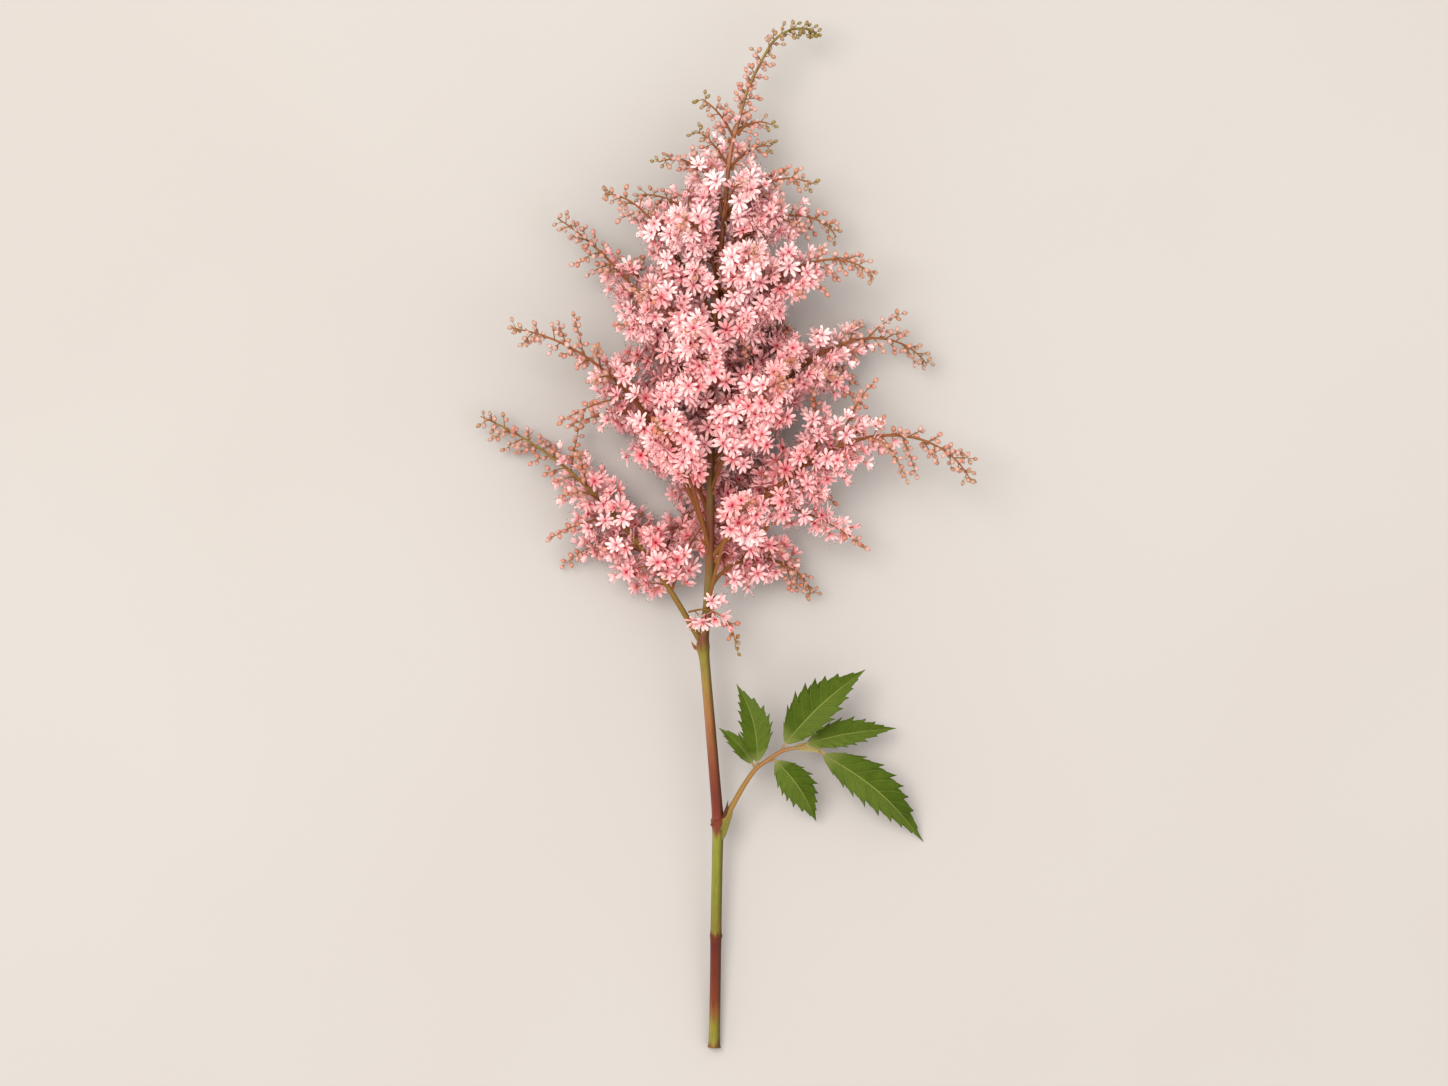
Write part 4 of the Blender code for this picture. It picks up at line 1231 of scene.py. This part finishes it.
def side_stalk(leaflet):
    """A thin stalk from the leaf's main stalk to a leaflet's foot."""
    foot = np.array(leaflet.foot)
    joint = np.array(LEAF_STALK[leaflet.joint][:3])
    heading = unit(np.array(leaflet.tip) - foot)
    middle = 0.5 * (joint + foot) - SIDE_STALK_BEND * heading
    rows = smooth_line((joint, middle, foot, foot + INTO_BLADE * heading), 5)
    radii = np.interp(np.linspace(0, 1, len(rows)), (0, 0.6, 1), SIDE_STALK_RADII)
    return tubes(rows[None], radii[None], SIDE_STALK_SIDES, np.linspace(0.7, 1.0, len(rows) + 2))


def leaf_stalk_finish():
    finish = Finish(
        "leaf stalk", Roughness=0.5, Specular_IOR_Level=0.2, Subsurface_Weight=0.05,
        Subsurface_Scale=0.8 * MM,
    )
    colour = finish.ramp(finish.attribute("chart"), LEAF_STALK_CHART, LIT)
    fibres = finish.grain((1600.0, 1600.0, 1600.0), detail=4.0)
    colour = finish.shade(colour, finish.span(fibres, 0.3, 0.7, 0.88, 1.12))
    finish.colour(colour)
    finish.bump(fibres, 0.06)
    return finish


leaf_rows = smooth_line(LEAF_STALK, 6)
main_stalk = tubes(
    leaf_rows[None, :, :3], leaf_rows[None, :, 3], LEAF_STALK_SIDES,
    np.concatenate(((0.0,), np.linspace(0, 1, len(leaf_rows)), (1.0,))),
)
sheath_lobe = pointed_strap(SHEATH_LOBE, SHEATH_LOBE_HALF_WIDTH, 0.3, 0.02)
wing = pointed_strap(WING, WING_HALF_WIDTH, 0.25, 1.0)
leaf_stalk = add_piece(
    "leaf_stalk_skin", [main_stalk, sheath_lobe, wing] + [side_stalk(leaflet) for leaflet in LEAFLETS],
    leaf_stalk_finish(), "leaf_stalk", "leaf_stalk",
)
print("leaf stalk triangles", triangle_count(leaf_stalk))

# %% [markdown]
# ## The leaflets
#
# A leaflet is a thin blade with a sharply toothed edge. The teeth point forward, with smaller teeth
# on them. Its side veins sink into it and end in the teeth, so it bulges between them. A flat outline
# with a cut-out picture would do from afar, but here the blade is a surface of two parameters: u
# runs from foot to tip and v from edge to edge, and everything follows from formulas of u and v.

# %% Leaflet blades
BLADE_THICKNESS = 0.45
BLADE_FULLNESS = (0.72, 0.95, 0.4)
EDGE_RISE = 0.16
STEPS_PER_TOOTH = 12
BLADE_COLUMNS = 33
TOOTH_DEPTH = 0.38
TOOTH_LEAN = 0.6
SMALL_TOOTH_DEPTH = 0.07
TOOTH_WAVE = 0.16
EDGE_POWER = 6
LEAST_HALF_WIDTH = 0.3
VEIN_SLANT = 1.6
PILLOW = 0.22


def leaflet_points(leaflet):
    """The middle surface of a blade, with u and v for each of its points.

    Half the width is a sine of u, raised to a power that grows towards the long thin tip, and cut
    back at each notch by a sawtooth that grows with the sixth power of v. A tooth leans forward by
    the same sawtooth. A slow wave makes some teeth longer than others. The midrib bows sideways by
    a sine of u, and the two halves have widths of their own.
    """
    stations = leaflet.teeth * STEPS_PER_TOOTH + 1
    u = np.linspace(0, 1, stations)[:, None]
    v = np.linspace(-1, 1, BLADE_COLUMNS)[None]
    side_share = np.abs(v)
    near_edge = side_share**EDGE_POWER
    wave = np.sin(math.tau * (1.7 * u + 0.31 * leaflet.teeth + 0.2 * v))
    in_teeth = leaflet.teeth * u + TOOTH_WAVE * wave
    tooth = in_teeth % 1.0
    small_tooth = (2 * in_teeth) % 1.0
    power, full_at_foot, more_at_tip = BLADE_FULLNESS
    profile = np.abs(np.sin(np.pi * u**power)) ** (full_at_foot + more_at_tip * u)
    cut = TOOTH_DEPTH * (1 - tooth) + SMALL_TOOTH_DEPTH * (1 - small_tooth)
    half_width = np.where(v < 0, *leaflet.half_widths)
    half = half_width * profile * (1 - cut * near_edge) + LEAST_HALF_WIDTH * (1 - 0.7 * u)
    forward = np.clip(u + TOOTH_LEAN / leaflet.teeth * tooth * near_edge * profile, 0, 1)
    foot, tip = np.array(leaflet.foot), np.array(leaflet.tip)
    heading = unit((tip - foot) * (1, 1, 0))
    roll = math.radians(leaflet.roll)
    side = math.cos(roll) * np.cross(OFF_THE_TABLE, heading) + math.sin(roll) * OFF_THE_TABLE
    sideways = v * half + leaflet.bow * np.sin(np.pi * forward)
    points = foot + forward[..., None] * (tip - foot) + sideways[..., None] * side
    vein = u * leaflet.teeth - VEIN_SLANT * side_share + VEIN_SLANT
    pillow = PILLOW * (0.5 - 0.5 * np.cos(math.tau * vein)) * 4 * side_share * (1 - side_share)
    points[..., 2] += (
        leaflet.arch * np.sin(np.pi * forward) + EDGE_RISE * half * side_share**1.5 + pillow * profile
    )
    return points, np.broadcast_to(u, vein.shape), np.broadcast_to(v, vein.shape)


def blade_faces(rows, columns):
    """Quads of the upper side, of the lower side and of the rim between them."""
    index = np.arange(rows * columns).reshape(rows, columns)
    upper = np.stack((index[:-1, :-1], index[1:, :-1], index[1:, 1:], index[:-1, 1:]), -1)
    upper = upper.reshape(-1, 4)
    rim = np.concatenate((index[0], index[1:, -1], index[-1, -2::-1], index[-2:0:-1, 0]))
    after = np.roll(rim, -1)
    below = rows * columns
    sides = np.stack((rim, after, after + below, rim + below), -1)
    return np.vstack((upper, upper[:, ::-1] + below, sides))


def add_leaflet(leaflet, finish):
    """The blade's middle surface, once raised and once lowered by half its thickness, and a rim."""
    points, u, v = leaflet_points(leaflet)
    rows, columns = u.shape
    half = 0.5 * BLADE_THICKNESS * OFF_THE_TABLE
    both = lifted(np.concatenate((points + half, points - half)).reshape(-1, 3), 0.0, PRESS)
    fields = {"veins": np.tile((u * leaflet.teeth).ravel(), 2), "across": np.tile(v.ravel(), 2)}
    faces = blade_faces(rows, columns).tolist()
    return add_mesh(leaflet.name + "_blade", both, faces, fields, finish, "leaf", leaflet.name)


# %% [markdown]
# ### The leaf's colours
#
# The veins are drawn from u and v, so they follow the blade however it bends: a side vein is where u
# in teeth, less a slant times the distance from the midrib, is a whole number.

# %% Leaf finish
GREENS = ((0.3, "#465c10"), (0.5, "#526812"), (0.7, "#5e741a"))
PALE_HALF = "#788c38"
# The dark green of painted shade in the creases beside the sunken veins.
PAINTED_SHADE_BESIDE_VEINS = "#3b4c0c"
BLADE_EDGE = "#2c3a0a"
SIDE_VEINS = "#93a354"
MIDRIB = "#a9b25c"
BLADE_FOOT = "#a3a860"


def leaf_finish():
    finish = Finish(
        "leaf", Roughness=0.6, Specular_IOR_Level=0.06, Subsurface_Weight=0.05,
        Subsurface_Scale=0.8 * MM, Subsurface_Radius=(0.5, 1.0, 0.2),
    )
    across_blade = finish.attribute("across")
    off_midrib = finish.maths("ABSOLUTE", across_blade, 0.0)
    slanted = finish.maths("MULTIPLY", off_midrib, VEIN_SLANT)
    vein = finish.maths("SUBTRACT", finish.attribute("veins"), slanted)
    vein = finish.maths("ADD", vein, VEIN_SLANT + 0.5)
    vein = finish.maths("FRACT", vein, 0.0)
    off_vein = finish.maths("ABSOLUTE", finish.maths("SUBTRACT", vein, 0.5), 0.0)
    side_veins = finish.span(off_vein, 0.01, 0.045, 1.0, 0.0)
    midrib = finish.span(off_midrib, 0.01, 0.03, 1.0, 0.0)
    foot = finish.span(finish.attribute("veins"), 0.1, 1.2, 0.6, 0.0)
    slow = finish.grain(scale=90.0)
    fine = finish.grain(scale=1500.0, detail=4.0)
    green = finish.ramp(slow, GREENS, LIT)
    green = finish.tinge(green, finish.span(across_blade, -0.04, 0.04, 0.4, 0.0), PALE_HALF)
    green = finish.shade(green, finish.span(fine, 0.3, 0.7, 0.86, 1.12))
    # Painted shade: the green darkens right beside each sunken side vein.
    green = finish.tinge(green, finish.span(off_vein, 0.045, 0.3, 0.2, 0.0), PAINTED_SHADE_BESIDE_VEINS)
    green = finish.tinge(green, finish.span(off_midrib, 0.92, 1.0, 0.0, 0.5), BLADE_EDGE)
    green = finish.tinge(green, finish.maths("MULTIPLY", side_veins, 0.35), SIDE_VEINS)
    green = finish.tinge(green, finish.maths("MULTIPLY", midrib, 0.65), MIDRIB)
    green = finish.tinge(green, foot, BLADE_FOOT)
    finish.colour(green)
    height = finish.maths("SUBTRACT", finish.span(fine, 0.3, 0.7, 0.0, 0.25), side_veins)
    finish.bump(height, 0.12, 0.5)
    return finish


LEAF_FINISH = leaf_finish()
blades = [add_leaflet(leaflet, LEAF_FINISH) for leaflet in LEAFLETS]
print("leaf triangles", sum(triangle_count(blade) for blade in blades))

# %% [markdown]
# ## The floor and the light
#
# A plain pale table under plain soft light. A wide lamp on the left gives the form its shading, and
# a dim wide lamp on the right keeps the shadows open.

# %% Floor
FLOOR_HALF = 4000.0

floor_mesh = bpy.data.meshes.new("floor")
floor_corners = [
    (x * FLOOR_HALF * MM, y * FLOOR_HALF * MM, 0.0) for x, y in ((-1, -1), (1, -1), (1, 1), (-1, 1))
]
floor_mesh.from_pydata(floor_corners, [], [(0, 1, 2, 3)])
floor = bpy.data.objects.new("floor", floor_mesh)
bpy.context.scene.collection.objects.link(floor)
floor_finish = Finish("floor", Roughness=0.9)
clouds = floor_finish.span(floor_finish.grain(scale=3.0), 0.4, 0.6)
floor_finish.colour(floor_finish.mix(clouds, linear("#9b9895"), linear("#999592")))
floor.data.materials.append(floor_finish.material)

# %% Lamps
Lamp = namedtuple("Lamp", "name place size power colour")
LAMPS = (
    Lamp("key lamp", (-820.0, 520.0, 2400.0), 1400.0, 68.0, "#fffaf4"),
    Lamp("fill lamp", (1500.0, -500.0, 2000.0), 1800.0, 20.0, "#fafaff"),
)


def add_lamp(lamp):
    """A square area lamp that points at the middle of the stem."""
    data = bpy.data.lights.new(lamp.name, "AREA")
    data.size = lamp.size * MM
    data.energy = lamp.power
    data.color = linear(lamp.colour)[:3]
    made = bpy.data.objects.new(lamp.name, data)
    place = np.array(lamp.place)
    back = unit(place)
    made.location = place * MM
    made.rotation_euler = (math.acos(back[2]), 0.0, math.atan2(back[1], back[0]) + math.pi / 2)
    bpy.context.scene.collection.objects.link(made)


for lamp in LAMPS:
    add_lamp(lamp)

STUDIO_COLOUR = "#fbf6f0"
STUDIO_STRENGTH = 1.46

world = bpy.data.worlds.new("studio")
world.use_nodes = True
background = world.node_tree.nodes["Background"]
background.inputs["Color"].default_value = linear(STUDIO_COLOUR)
background.inputs["Strength"].default_value = STUDIO_STRENGTH
bpy.context.scene.world = world
bpy.context.scene.view_settings.view_transform = "Standard"
